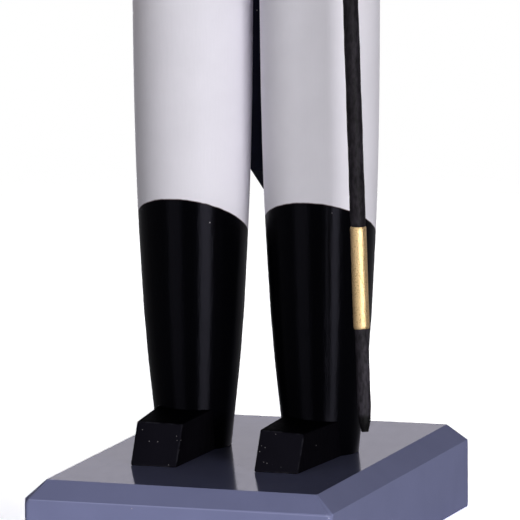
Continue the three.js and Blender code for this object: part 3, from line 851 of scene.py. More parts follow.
def loft(name: str, points: np.ndarray, **values: Amount) -> Piece:
    """Skin a grid of closed rows, from the first row to the last, with both ends capped."""
    return make(name, points, grid_faces(1, *points.shape[:2]), **values)


def hoop(name: str, points: np.ndarray) -> Piece:
    """Skin a grid of closed rows whose last row joins the first, as a ring does."""
    faces = np.array(grid_faces(1, len(points) + 1, points.shape[1], caps=False)) % points[..., 0].size
    return make(name, points, faces.tolist())


def tubes(
    name: str,
    paths: np.ndarray,
    normals: object,
    sides: int,
    wide: Amount,
    high: Amount | None = None,
    **values: np.ndarray,
) -> Piece:
    """Carry an ellipse along one path or many at once.

    A point is path + side * wide * cos(turn) + normal * high * sin(turn), where side is square to
    both the path and the normal.

    Args:
        name: The piece's name.
        paths: Stations of each path, as rows of X, Y and Z.
        normals: The direction of the ellipse's height, spread over the stations.
        sides: Points round the ellipse.
        wide: Half width at each station.
        high: Half height at each station, or the half width where none is given.
        values: Named values at each station.

    Returns:
        One object that holds every tube, closed at its ends.
    """
    paths = paths.reshape(-1, *paths.shape[-2:])
    ahead = unit(np.gradient(paths, axis=1))
    across = unit(np.cross(ahead, normals))
    lift = np.cross(across, ahead)
    wide, high = (
        np.broadcast_to(half, paths.shape[:2])[..., None, None]
        for half in (wide, wide if high is None else high)
    )
    turn = circle(sides)[:, None]
    bow = across[:, :, None] * wide * np.cos(turn) + lift[:, :, None] * high * np.sin(turn)
    points = paths[:, :, None] + bow
    spread = {key: given[..., None] for key, given in values.items()}
    return make(name, points, grid_faces(*points.shape[:3]), **spread)


def turned_about(name: str, profile: np.ndarray, stand: Matrix, sides: int) -> Piece:
    """Turn a profile about an axis, closed by a flat foot where it starts away from the axis.

    Args:
        name: The piece's name.
        profile: Rows of radius and height along the axis.
        stand: Where the axis stands: its Z is the axis.
        sides: Points round it.

    Returns:
        The turned object.
    """
    if profile[0, 0] > 0:
        profile = np.vstack([(0.0, profile[0, 1]), profile])
    radius, height = profile.T[:, :, None]
    return loft(name, placed(polar(np.maximum(radius, 0.0), circle(sides), height), stand))


def board(name: str, outline: np.ndarray, half: float) -> Piece:
    """Cut a board from an outline in Y and Z, so far to either side of the middle plane."""
    return loft(name, np.stack([grid(x, *outline.T) for x in (-half, half)]))


def settle(piece: Piece) -> None:
    """Turn a piece's live modifiers into its mesh.

    Args:
        piece: The object.
    """
    bpy.context.view_layer.update()
    kept = piece.evaluated_get(bpy.context.evaluated_depsgraph_get())
    mesh = bpy.data.meshes.new_from_object(kept)
    piece.modifiers.clear()
    before, piece.data = piece.data, mesh
    bpy.data.meshes.remove(before)
    mesh.name = piece.name


def carve(piece: Piece, *tools: Piece) -> None:
    """Cut tools out of a piece and delete them.

    Args:
        piece: The object to cut.
        tools: What to cut out of it.
    """
    for tool in tools:
        cut = piece.modifiers.new("cut", "BOOLEAN")
        cut.operation = "DIFFERENCE"
        cut.solver = "EXACT"
        cut.object = tool
    settle(piece)
    for tool in tools:
        bpy.data.meshes.remove(tool.data)
    shade_smooth(piece.data)


def soften(piece: Piece, width: float) -> None:
    """Round a piece's sharp edges and keep its flat faces flat.

    Args:
        piece: The object.
        width: Width of the rounding.
    """
    shade_smooth(piece.data, math.pi)
    edge = piece.modifiers.new("edge", "BEVEL")
    edge.width = width
    edge.segments = 4
    edge.limit_method = "ANGLE"
    edge.angle_limit = SHARP
    flat = piece.modifiers.new("flat", "WEIGHTED_NORMAL")
    flat.keep_sharp = True
    settle(piece)


def dress(piece: Piece, finish: Finish, slot: Slot, *replaced: str, body: Body = Body.FIGURE) -> None:
    """Give a piece its finish, its body and the nodes that it stands for.

    Args:
        piece: The finished mesh object.
        finish: Its finish.
        slot: The record's slot of that finish; not used.
        replaced: CAD nodes that it stands for.
        body: The body that carries it.
    """
    piece.data.materials.clear()
    piece.data.materials.append(material_of(finish))
    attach(piece, body.value)
    if replaced:
        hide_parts(*replaced)
    LOG.info("%s: %d points", piece.name, len(piece.data.vertices))


def grow_fur(
    node: str,
    body: Body,
    root: np.ndarray,
    out: np.ndarray,
    length: np.ndarray,
    strands: int,
    width: float,
    lift: float,
    rng: np.random.Generator,
    limit: float = math.inf,
) -> None:
    """Grow locks of tapering strands that are combed down.

    A strand leaves its root outwards, bends down and closes in on its lock's tip: root + spread *
    (1 - 0.75 t) + down * length * t + out * lift * sin(pi t^0.7), plus a slow wave sideways.

    Args:
        node: The CAD node that the fur stands for.
        body: The body that carries it.
        root: Root of each lock.
        out: Outward direction at each root.
        length: Length of each lock.
        strands: Strands to a lock.
        width: How far a lock's strands spread at the root.
        lift: How far a lock bows outwards.
        rng: Seeded source of the strands' differences.
        limit: Greatest distance from the middle plane.
    """
    locks = len(root)
    t = np.linspace(0, 1, 5)
    down = np.array([0.0, 0.0, -1.0])
    side = unit(np.cross(out, down))
    fan = (rng.random((locks, strands, 2)) * 2 - 1) * width
    reach = length[:, None] * (0.72 + 0.34 * rng.random((locks, strands)))
    wave = rng.random(locks) * TAU
    swing = 0.09 * length * (0.4 + rng.random(locks))
    bow = lift * (0.35 + 0.75 * rng.random((locks, strands)))
    closing = 1 - 0.75 * t
    sway = swing[:, None, None] * np.sin(wave[:, None, None] + 3.2 * t) * t
    across = fan[..., :1] * closing + sway
    fall = reach[..., None] * t + 0.6 * fan[..., 1:] * closing
    raised = bow[..., None] * np.sin(math.pi * t**0.7)
    paths = (
        root[:, None, None]
        + side[:, None, None] * across[..., None]
        + down * fall[..., None]
        + out[:, None, None] * raised[..., None]
    ).reshape(-1, len(t), 3)
    paths[..., 0] = np.clip(paths[..., 0], -limit, limit)
    taper = np.array([0.8, 1.0, 0.9, 0.65, 0.08])
    thick = (0.2 + 0.14 * rng.random(len(paths)))[:, None] * MM * taper
    # Each strand's tone varies at random and rises from root to tip; the darker root is painted shade.
    tone = np.clip(0.55 + 0.35 * rng.random(len(paths))[:, None] + 0.35 * (t - 0.35), 0, 1)
    normals = np.repeat(out, strands, axis=0)[:, None] + 0.01
    piece = tubes(f"{node}_fur", paths, normals, 3, thick, tone=tone)
    dress(piece, WHITE_FUR, Slot.FUR, node, body=body)


@dataclass(eq=False)
class Turning:
    """The wall of a turned piece: its radius at each height about an upright axis."""

    axis: Pair
    heights: np.ndarray
    radii: np.ndarray

    def radius(self, height: Amount) -> np.ndarray:
        """The wall's radius at a height."""
        return np.interp(height, self.heights, self.radii)

    def at(self, angle: Amount, height: Amount, lift: Amount = 0.0) -> np.ndarray:
        """A place on the wall, or lifted off it, at an angle from the front and a height."""
        out = self.radius(height) + lift
        return grid(self.axis[0] + out * np.sin(angle), self.axis[1] - out * np.cos(angle), height)

    def piece(self, name: str, sides: int) -> Piece:
        """Turn the wall into a closed solid of revolution."""
        return loft(name, self.at(circle(sides), self.heights[:, None]))

    def strap(
        self, name: str, box: Box, lift: float, thickness: float, start: float = 0.0, end: float = TAU
    ) -> Piece:
        """Wrap a strap round the wall, its section a rounded rectangle that is lifted off the wall.

        Args:
            name: The piece's name.
            box: The box whose foot and top are the strap's edges.
            lift: Gap between the wall and the strap.
            thickness: The strap's thickness.
            start: Angle of its first end.
            end: Angle of its last end; a full turn closes it.

        Returns:
            The strap's object.
        """
        closed = math.isclose(end - start, TAU)
        angle = np.linspace(start, end, 160, endpoint=not closed)[:, None]
        half = np.array([thickness, box.size.z]) / 2
        off, up = rounded(half, min(thickness, box.size.z) * 0.35, 5).T
        points = self.at(angle, box.middle.z + up, lift + thickness / 2 + off)
        return hoop(name, points) if closed else loft(name, points)


@dataclass
class Plinth:
    """The slate-painted board, its chamfer planed by hand, that stands a hair askew under the figure.

    The runs are the chamfer's widths in millimetres, beside and behind or before each corner, from the
    left back one round by the right. From the foot's level up to the top's, rounding is the radius of
    the corners as a share of the full one, and worn is how many millimetres are sanded off them.
    """

    runs: tuple[Pair, ...] = ((5.65, 3.1), (3.95, 6.0), (4.85, 5.5), (5.8, 4.85))
    right_drop: float = 4.9 * MM
    left_drop: float = 4.45 * MM
    foot_chamfer: float = 0.1 * MM
    spread: Pair = (0.08 * MM, 0.36 * MM)
    corner: float = 1.6 * MM
    rounding: tuple[float, ...] = (1.0, 1.0, 1.0, 1.0, 1.0, 1.0, 0.9, 0.25)
    worn: tuple[float, ...] = (1.2, 0.4, 0.0, 0.0, 0.3, 0.9, 0.5, 0.3)
    worn_reach: float = 1.3 * MM
    near_share: float = 0.35
    points: int = 9
    softness: float = 0.55 * MM
    setback: float = 0.78 * MM
    turn: float = -0.39

    def build(self) -> None:
        """Carry a rounded rectangle up the sides and in over the chamfer, its corners sanded off.

        A point is sign * (half side - inset - radius) + (radius - sanded) * arc at each level, where
        sanded goes with the sine of twice the arc's turn.
        """
        box = Box.of("plinth")
        signs, arcs = rounded_outline(self.points)
        run = np.repeat(np.array(self.runs) * MM, self.points, axis=0)
        drop = np.where(signs[:, :1] > 0, self.left_drop, self.right_drop)
        edge, reach, near = box.size.z - drop, self.worn_reach, self.near_share * self.worn_reach
        inset = np.stack([0 * run + self.foot_chamfer, *[0 * run] * 5, run * near / drop, run])
        levels = (0.0, near, reach, edge - reach, edge - near, edge, edge + near, edge + drop)
        rise = np.stack(np.broadcast_arrays(*levels))
        half = np.array([box.size.x, box.size.y]) / 2 + np.array(self.spread)
        radius = self.corner * np.array(self.rounding)[:, None, None]
        sanded = np.array(self.worn)[:, None, None] * MM * 2 * np.abs(arcs.prod(axis=1, keepdims=True))
        level = signs * (half - inset - radius) + (radius - sanded) * arcs
        stand = Matrix.Translation((box.middle.x, box.middle.y + self.setback, box.low.z))
        askew = Matrix.Rotation(math.radians(self.turn), 4, "Z")
        piece = loft("plinth_board", placed(np.concatenate([level, rise], axis=-1), stand @ askew))
        soften(piece, self.softness)
        dress(piece, SLATE, Slot.SLATE, "plinth")


@dataclass
class Leg:
    """A turned leg, dipped in black up to a slanting line, with a glued toe block.

    The stations are heights and radii of the turning in millimetres.
    """

    side: Side
    boot_height: float
    boot_slope: float
    boot_lean: float
    toe_width: float
    toe_inset: float
    toe_front: float
    toe_root: float
    toe_tilt: float
    shift: float
    slant: float
    swell: float
    stations: tuple[Pair, ...] = (
        (0.0, 10.45), (7.0, 11.2), (13.0, 11.85), (25.0, 13.12), (34.0, 13.83), (42.0, 14.42),
        (70.5, 15.85), (99.0, 16.65), (128.0, 17.0), (140.0, 17.1),
    )
    toe_root_width: float = 17 * MM
    toe_lean: float = 6.0 * MM
    toe_edge: float = 0.45 * MM
    toe_bed: float = 0.18 * MM
    toe_wear: float = 0.4

    def build(self) -> None:
        """Make the leg and its toe."""
        self.turning()
        self.toe()

    def turning(self) -> None:
        """Turn the leg through its measured stations.

        Above the boot its radius grows by swell * rise and its axis leans by slant * rise, and below
        it leans half as much.
        """
        node = f"{self.side.word}_leg"
        box = Box.of(node)
        height, radius = through(np.array(self.stations) * MM, 72).T
        rise = height - self.boot_height
        radius = radius + self.swell * np.maximum(rise, 0.0)
        wall = Turning((box.middle.x + self.shift, box.middle.y), box.low.z + height, radius)
        points = wall.at(circle(112), wall.heights[:, None])
        points[..., 0] += self.slant * np.where(rise > 0, rise, rise / 2)[:, None]
        paint = LegPaint(
            f"{node}_paint", srgb(228, 225, 234), roughness=0.45, cloud=0.02, specks=0.004,
            line_normal=(self.boot_lean, self.boot_slope, 1.0),
            line_point=(box.middle.x, box.middle.y, box.low.z + self.boot_height), ior=1.17,
        )
        dress(loft(f"{node}_turning", points), paint, Slot.LEG, node)

    def toe(self) -> None:
        """Loft a toe block from inside the boot to its leaning, rounded front.

        Its sections are rounded rectangles whose sides go from the root's to the front's with the share
        of the way ahead. A point leans back by lean * share * level, its level being 0 at the bed and
        1 on top.
        """
        node = f"{self.side.word}_toe"
        box, leg = Box.of(node), Box.of(f"{self.side.word}_leg")
        run = np.linspace(0, 1, 14)
        roll = np.linspace(0, TAU / 4, 6)[1:]
        reach = leg.middle.y - box.low.y
        ahead = np.concatenate([run * (reach - self.toe_edge), reach - self.toe_edge * (1 - np.sin(roll))])
        inset = np.concatenate([0 * run, self.toe_edge * (1 - np.cos(roll))])
        share = ahead / reach
        wide = self.toe_root_width + (self.toe_width - self.toe_root_width) * share
        tall = self.toe_root + (self.toe_front - self.toe_root) * share
        half = grid(wide / 2 - inset, tall / 2 - inset)
        across, up = np.moveaxis(rounded(half[:, None], self.toe_edge, 7), -1, 0)
        share, ahead, tall = share[:, None], ahead[:, None], tall[:, None]
        level = 0.5 + up / tall
        points = grid(
            leg.middle.x - self.side.value * self.toe_inset * share + across,
            leg.middle.y - ahead + self.toe_lean * share * level,
            box.low.z - self.toe_bed + tall * level - self.toe_tilt * level * across,
        )
        wear = self.toe_wear * np.concatenate([0 * run, np.sin(2 * roll)])[:, None]
        front = np.concatenate([0 * run, np.sin(roll) ** 4])[:, None]
        dress(loft(f"{node}_block", points, wear=wear, front=front), BOOT, Slot.BOOT, node)


@dataclass
class Coat:
    """The turned coat with its slot, belt, buckle, buttons, braid and epaulettes."""

    skirt: float = 34 * MM
    chest: float = 52 * MM
    hem_radius: float = 37.9 * MM
    waist_radius: float = 34 * MM
    neck_radius: float = 23 * MM
    collar: float = 7 * MM
    slot_width: float = 18.8 * MM
    slot_radius: float = 57.3 * MM
    back_slot: float = 17.0 * MM
    belt_lift: float = 0.2 * MM
    belt_thickness: float = 1.6 * MM
    stitches: int = 74
    stitch_margin: float = 1.3 * MM
    stitch_share: float = 0.62
    stitch_bow: float = 0.22 * MM
    stitch_sunk: float = 0.05 * MM
    thread: float = 0.26 * MM
    buckle_corner: float = 1.6 * MM
    buckle_bar: float = 1.5 * MM
    buckle_plate: float = 0.7 * MM
    button_angle: float = math.radians(26)
    button_rows: int = 4
    button_lift: float = 0.3 * MM
    braid_radius: float = 0.75 * MM
    hem_margin: float = 2.4 * MM
    epaulette_radius: float = 12.5 * MM
    epaulette_tilt: float = math.radians(16)
    epaulette_out: float = 5 * MM
    epaulette_drop: float = 3.85 * MM
    fringe_cords: int = 30
    fringe_length: float = 7.5 * MM
    fringe_radius: float = 0.78 * MM

    def __post_init__(self) -> None:
        """Work out the coat's wall from its node.

        It eases from hem to waist and from waist to chest, and closes over the shoulders as a quarter
        of an ellipse does.
        """
        box, leg = Box.of("torso"), Box.of("right_leg")
        self.hem, self.neck = box.low.z, box.high.z
        self.axis = (0.0, leg.middle.y)
        self.chest_radius = box.size.x / 2
        self.breast = self.hem + self.skirt + self.chest
        lower = np.linspace(0, self.skirt + self.chest, 60)
        flare = (self.hem_radius - self.waist_radius) * ease(1 - lower / self.skirt)
        swell = (self.chest_radius - self.waist_radius) * ease((lower - self.skirt) / self.chest)
        turn = np.linspace(0, TAU / 4, 24)[1:]
        shoulder = self.neck_radius + (self.chest_radius - self.neck_radius) * np.cos(turn)
        rise = (self.neck - self.breast) * np.sin(turn)
        self.wall = Turning(
            self.axis,
            np.concatenate([self.hem + lower, self.breast + rise]),
            np.concatenate([self.waist_radius + flare + swell, shoulder]),
        )

    def build(self, pivot: Vector) -> None:
        """Make the coat and everything sewn or pinned to it.

        Args:
            pivot: The place of the lever's pivot, about which the slot is sawn.
        """
        self.torso(pivot)
        self.belt()
        self.buckle()
        self.buttons()
        ahead = pivot.y - (self.axis[1] - self.chest_radius)
        self.chest_braid(pivot.z - math.sqrt(self.slot_radius**2 - ahead**2))
        self.edge_braid()
        for side in Side:
            self.epaulette(side)

    def slot_angle(self, radius: float, margin: float = 0.01) -> float:
        """Half the angle that the lever's slot takes up at a radius, with a margin."""
        return math.asin(self.slot_width / 2 / radius) + margin

    def torso(self, pivot: Vector) -> None:
        """Turn the coat and saw the lever's slot out of it: a disc about the pivot and a straight back.

        Args:
            pivot: The place of the lever's pivot.
        """
        piece = self.wall.piece("coat_turning", 144)
        turn = circle(96)
        sweep = grid(pivot.y + self.slot_radius * np.cos(turn), pivot.z + self.slot_radius * np.sin(turn))
        half, far = self.slot_width / 2, 3 * self.chest_radius
        front = self.axis[1] + self.back_slot
        back = oblong(front, front + far, self.hem - far, self.neck + far)
        carve(piece, board("sweep", sweep, half), board("back", back, half))
        collar = Zone(UP, self.neck - self.collar, self.neck + self.collar, SCARLET_TONE)
        paint = ZonedPaint("coat_paint", NAVY_TONE, roughness=0.38, zones=(collar,))
        dress(piece, paint, Slot.COAT, "torso", "pivot_plug")

    def belt(self) -> None:
        """Wrap the belt, open behind, and sew both its edges with stitches that bow as a cosine does."""
        box = Box.of("belt")
        end = math.pi - self.slot_angle(self.waist_radius + self.belt_thickness)
        belt = self.wall.strap("belt_strap", box, self.belt_lift, self.belt_thickness, -end, end)
        dress(belt, WHITE_LEATHER, Slot.WHITE_LEATHER, "belt")
        angle = np.linspace(0.03 - end, end - 0.03, self.stitches)
        run = np.linspace(-0.5, 0.5, 5) * (angle[1] - angle[0]) * self.stitch_share
        turns = np.tile(angle[:, None] + run, (2, 1))
        rows = (box.low.z + self.stitch_margin, box.high.z - self.stitch_margin)
        bow = self.stitch_bow * np.cos(np.linspace(-1.4, 1.4, 5)) - self.stitch_sunk
        lift = self.belt_lift + self.belt_thickness + bow
        paths = self.wall.at(turns, np.repeat(rows, self.stitches)[:, None], lift)
        stitches = tubes("belt_stitches", paths, outward(turns), 6, self.thread)
        dress(stitches, THREAD, Slot.WHITE_LEATHER)

    def buckle(self) -> None:
        """Make the buckle: a circle carried round a rounded rectangle, a thin plate in it and a tongue."""
        box, bar = Box.of("belt_buckle"), self.buckle_bar
        middle, half = box.middle, np.array([box.size.x, box.size.z]) / 2
        outline = rounded(half - bar / 2, self.buckle_corner, 6)
        turn = circle(12)
        spread = outline[:, None] + rounded_outline(6)[1][:, None] * np.cos(turn)[:, None] * bar / 2
        front = box.low.y + bar / 2
        ring = grid(middle.x + spread[..., 0], front + np.sin(turn) * bar / 2, middle.z + spread[..., 1])
        dress(hoop("buckle_frame", ring), BRASS, Slot.BRASS, "belt_buckle")
        faces = np.array([[box.high.y], [box.high.y - self.buckle_plate]])
        plate = grid(middle.x + outline[:, 0], faces, middle.z + outline[:, 1])
        dress(loft("buckle_plate", plate), GOLD, Slot.BRASS)
        reach = np.linspace(-half[0] + bar, half[0] - bar / 2, 9)
        path = grid(middle.x + reach, np.linspace(front + 0.2 * MM, front - 0.35 * MM, 9), middle.z)
        dress(tubes("buckle_tongue", path, AHEAD, 10, 0.7 * MM, 0.45 * MM), BRASS, Slot.BRASS)

    def buttons(self) -> None:
        """Turn eight domed buttons, each with a raised rim, facing outwards.

        The rim and the dome are rows of radius and height, as shares of the button's radius.
        """
        rim = through([(1.0, -0.25), (1.04, 0.1), (0.95, 0.32), (0.8, 0.26)], 12)
        dome = through([(0.72, 0.3), (0.5, 0.55), (0.25, 0.68), (0.0, 0.72)], 10)
        for side in Side:
            angle = side.value * self.button_angle
            for row in range(1, self.button_rows + 1):
                node = f"coat_button_{side.word}_{row}"
                box = Box.of(node)
                foot = self.wall.at(angle, box.middle.z, self.button_lift)
                stand = facing(Vector(foot), Vector(outward(angle)))
                piece = turned_about(f"{node}_dome", np.vstack([rim, dome]) * box.size.z / 2, stand, 32)
                dress(piece, BRASS, Slot.BRASS, node)

    def chest_braid(self, slot_foot: float) -> None:
        """Lay gold cords across the chest between the buttons.

        Args:
            slot_foot: The height from which the slot parts them.
        """
        angle, edge = self.button_angle, self.slot_angle(self.waist_radius)
        for row in range(1, self.button_rows + 1):
            height = Box.of(f"coat_button_left_{row}").middle.z
            ends = [(-angle, angle)] if height < slot_foot else [(-angle, -edge), (edge, angle)]
            turns = np.array([np.linspace(*pair, 40) for pair in ends])
            paths = self.wall.at(turns, height, self.braid_radius * 0.6)
            cords = tubes(f"chest_braid_{row}", paths, outward(turns), 12, self.braid_radius)
            dress(cords, GOLD, Slot.GOLD)

    def edge_braid(self) -> None:
        """Lay flat gold braid round the collar, which the slot parts before and behind, and the hem."""
        top, low = self.neck - self.collar, self.hem + self.hem_margin
        for name, height, width in (("collar_braid", top, 1.1 * MM), ("hem_braid", low, 1.5 * MM)):
            gap = self.slot_angle(float(self.wall.radius(height)), 0.02)
            end = math.pi - gap
            runs = [(-end, -gap), (gap, end)] if name == "collar_braid" else [(-end, end)]
            for number, run in enumerate(runs, start=1):
                path = self.wall.at(np.linspace(*run, 120), height, 0.35 * MM)
                dress(tubes(f"{name}_{number}", path, UP, 12, 0.7 * MM, width), GOLD, Slot.GOLD)

    def epaulette(self, side: Side) -> None:
        """Turn a domed epaulette, with a corded rim and a fringe on its outer half.

        The dome falls with the square of the radius, rippled by a cosine. The fringe's cords bulge as a
        sine does.

        Args:
            side: The shoulder that carries it.
        """
        node, radius = f"{side.word}_epaulette", self.epaulette_radius
        out = side.value * (self.chest_radius + self.epaulette_out)
        stand = Matrix.Translation((out, self.axis[1], Box.of(node).high.z - self.epaulette_drop))
        stand = stand @ Matrix.Rotation(side.value * self.epaulette_tilt, 4, "Y")
        crown = through([(1.0, -1.6), (1.0, 0.6), (0.93, 1.6), (0.84, 1.7)], 12) * (radius, MM)
        rings = np.linspace(0.82, 0.0, 40)
        dome = grid(rings * radius, (3.5 - 1.6 * rings**2 + 0.22 * np.cos(rings * 34)) * MM)
        dress(turned_about(f"{node}_dome", np.vstack([crown, dome]), stand, 72), GOLD, Slot.GOLD, node)
        turn = np.linspace(-1.75, 1.75, self.fringe_cords) + (0 if side is Side.LEFT else math.pi)
        fall = np.linspace(0, 1, 6)
        reach = radius * (0.97 + 0.1 * np.sin(fall * 2.0))
        paths = placed(polar(reach, turn[:, None], 0.4 * MM - self.fringe_length * fall), stand)
        taper = self.fringe_radius * np.array([0.8, 1.0, 1.05, 1.05, 1.0, 0.6])
        dress(tubes(f"{node}_fringe", paths, (0.0, 0.83, 0.55), 8, taper), GOLD, Slot.GOLD)


@dataclass
class Head:
    """The turned head with its mouth, nose, painted face and fur hair."""

    foot_radius: float = 22 * MM
    cheek: float = 20 * MM
    brow: float = 44 * MM
    crown_taper: float = 2 * MM
    mouth: float = 18 * MM
    lip_gap: float = 0.5 * MM
    slot_width: float = 18.8 * MM
    upper_lip: float = 7 * MM
    nut_depth: float = 16 * MM
    nut_rise: float = 7.5 * MM
    blush_angle: float = math.radians(37)
    blush_height: float = 29 * MM
    eye_angle: float = math.radians(21)
    eye_height: float = 38 * MM
    hair_edge: float = math.radians(80)
    hair_top: float = 0.8 * MM
    hair_foot: float = 2.5 * MM
    hair_locks: int = 330
    hair_strands: int = 15
    lever_room: float = 3.8 * MM
    backing: float = 2.2 * MM

    def __post_init__(self) -> None:
        """Work out the head's wall from its node.

        It swells up to the cheek as a quarter of a sine does, and past the brow it narrows with the
        square of the height.
        """
        box = Box.of("head")
        self.foot, self.crown = box.low.z, box.high.z
        self.axis = (0.0, box.middle.y)
        self.radius = box.size.x / 2
        tall = self.crown - self.foot
        height = np.linspace(0, tall, 60)
        rise = np.sin(TAU / 4 * np.clip(height / self.cheek, 0, 1))
        taper = self.crown_taper * np.clip((height - self.brow) / (tall - self.brow), 0, 1) ** 2
        radius = self.foot_radius + (self.radius - self.foot_radius) * rise - taper
        self.wall = Turning(self.axis, self.foot + height, radius)

    def build(self) -> None:
        """Make the head, its face and its hair."""
        self.block()
        self.nose()
        self.eyes()
        self.brows_and_moustache()
        self.hair()

    def block(self) -> None:
        """Turn the head and cut the mouth slot and the hollow for the nut."""
        piece = self.wall.piece("head_turning", 128)
        half, far = self.slot_width / 2, 3 * self.radius
        roof = self.foot + self.mouth
        slot = oblong(self.axis[1] - far, self.axis[1] + far, self.foot - far, roof + self.lip_gap)
        start = self.axis[1] - self.radius + self.upper_lip
        hollow = oblong(start, start + self.nut_depth, self.foot, roof + self.nut_rise)
        carve(piece, board("slot", slot, half), board("hollow", hollow, half))
        cheeks = tuple(
            tuple(self.wall.at(side.value * self.blush_angle, self.foot + self.blush_height).tolist())
            for side in Side
        )
        paint = FacePaint("face_paint", FLESH.colour, roughness=0.42, specks=0.01, cheeks=cheeks)
        dress(piece, paint, Slot.SKIN, "head")

    def nose(self) -> None:
        """Turn a blunt nose about a line that points forwards, by shares of its radius and length."""
        box = Box.of("nose")
        root = self.axis[1] - self.radius
        profile = through(
            [(0.9, -0.3), (1.0, 0.0), (0.97, 0.3), (0.9, 0.58), (0.68, 0.86), (0.34, 0.98), (0.0, 1.0)], 40
        ) * (box.size.z / 2, root - box.low.y)
        stand = Matrix.Translation((0.0, root, box.middle.z)) @ Matrix.Rotation(TAU / 4, 4, "X")
        dress(turned_about("nose_turning", profile, stand, 40), FLESH, Slot.SKIN, "nose")

    def dab(self, name: str, angle: float, height: float, wide: float, high: float, lift: float) -> Piece:
        """Lay a low lens of paint on the face.

        A point at share r of the way out and turn t lies at the middle plus r * (wide cos t, high
        sin t), lifted by lift * (1 - r^2) in front and sunk a little behind.

        Args:
            name: The piece's name.
            angle: Angle of its middle from the front.
            height: Height of its middle.
            wide: Half width along the wall.
            high: Half height.
            lift: Height of its crown off the wall.

        Returns:
            The lens.
        """
        front = np.linspace(0, 1, 8)[:, None]
        back = np.linspace(1, 0, 4)[1:, None]
        share = np.concatenate([front, back])
        raised = np.concatenate([lift * (1 - front**2), 0 * back - 0.2 * MM])
        turn = circle(32)
        across = share * wide * np.cos(turn) / self.radius
        return loft(name, self.wall.at(angle + across, height + share * high * np.sin(turn), raised))

    def stroke(self, name: str, finish: Finish, lift: float, *route: Vector3, sign: int = 1) -> None:
        """Lay a brush stroke or a carved strip along a route on the face.

        Args:
            name: The piece's name.
            finish: Its finish.
            lift: Greatest half thickness.
            route: Angles in degrees, heights above the head's foot and half widths in millimetres.
            sign: The sign of X on the side that the route runs on.
        """
        angle, height, half = through(route, 40).T
        angle = sign * np.radians(angle)
        half = np.maximum(half, 0.02) * MM
        path = self.wall.at(angle, self.foot + height * MM, 0.1 * MM)
        dress(tubes(name, path, outward(angle), 14, half, np.minimum(lift, half)), finish, Slot.SKIN)

    def eyes(self) -> None:
        """Paint each eye as a white, an iris, a pupil and a catch light, under a dark lid."""
        layers = (
            ("white", EYE_WHITE, 0.0, 4.6, 3.0, 0.25),
            ("iris", IRIS, -0.3, 2.2, 2.3, 0.42),
            ("pupil", INK, -0.3, 1.1, 1.2, 0.52),
            ("glint", EYE_WHITE, 0.5, 0.42, 0.42, 0.62),
        )
        lid = ((10.5, 37.4, 0.1), (15, 40.2, 0.5), (21, 41.3, 0.6), (27, 40.4, 0.5), (31.5, 37.6, 0.1))
        for side in Side:
            for part, finish, up, *sizes in layers:
                height = self.foot + self.eye_height + up * MM
                sizes = [size * MM for size in sizes]
                piece = self.dab(f"{side.word}_eye_{part}", side.value * self.eye_angle, height, *sizes)
                dress(piece, finish, Slot.SKIN)
            self.stroke(f"{side.word}_eyelid", INK, 0.35 * MM, *lid, sign=side.value)

    def brows_and_moustache(self) -> None:
        """Paint the brows and the upper lip, and lay the moustache over the mouth."""
        brow = ((8, 45.0, 0.5), (17, 47.6, 1.2), (27, 47.4, 1.0), (36, 44.2, 0.1))
        curl = (
            (1, 24.2, 1.6), (12, 24.4, 2.3), (25, 22.6, 2.0),
            (37, 23.4, 1.4), (45, 27.6, 0.9), (46, 31.0, 0.05),
        )
        upper = ((-19.5, 19.6, 0.3), (-8, 20.2, 1.1), (0, 19.8, 0.9), (8, 20.2, 1.1), (19.5, 19.6, 0.3))
        for side in Side:
            self.stroke(f"{side.word}_brow", INK, 0.5 * MM, *brow, sign=side.value)
            self.stroke(f"{side.word}_moustache", INK, 1.3 * MM, *curl, sign=side.value)
        self.stroke("upper_lip", LIP, 0.45 * MM, *upper)

    def hair(self) -> None:
        """Comb fur down the back and sides of the head over a backing, short where the lever swings.

        The backing stands off the wall by its thickness times 1 - share^6 of the way up.
        """
        low, high, edge = Box.of("hair").low.z, self.crown - self.hair_top, self.hair_edge
        rng = np.random.default_rng(7)
        count = self.hair_locks
        turn = math.pi + (rng.random(count) * 2 - 1) * (math.pi - edge)
        height = low + (high - low) * (0.1 + 0.9 * rng.random(count) ** 0.6)
        foot = low + np.where(np.abs(np.sin(turn)) < 0.5, self.lever_room, -self.hair_foot)
        height = np.maximum(height, foot + 5 * MM)
        length = np.minimum(height - foot, (13 + 9 * rng.random(count)) * MM)
        root = self.wall.at(turn, height, 1.0 * MM)
        grow_fur(
            "hair", Body.FIGURE, root, outward(turn), length, self.hair_strands,
            width=2.3 * MM, lift=3.1 * MM, rng=rng,
        )
        share = np.linspace(0, 1, 20)
        start = low + 1.5 * self.lever_room
        heights = start + (high - start) * share
        rows = np.concatenate([heights, heights[::-1]])
        lift = np.concatenate([self.backing * (1 - share**6), 0 * share + 0.1 * MM])
        shell = self.wall.at(np.linspace(edge, TAU - edge, 72)[:, None], rows, lift)
        # The backing takes a low tone, darker than the strands: painted shade under the fur.
        dress(loft("hair_backing", shell, tone=0.35), WHITE_FUR, Slot.FUR)


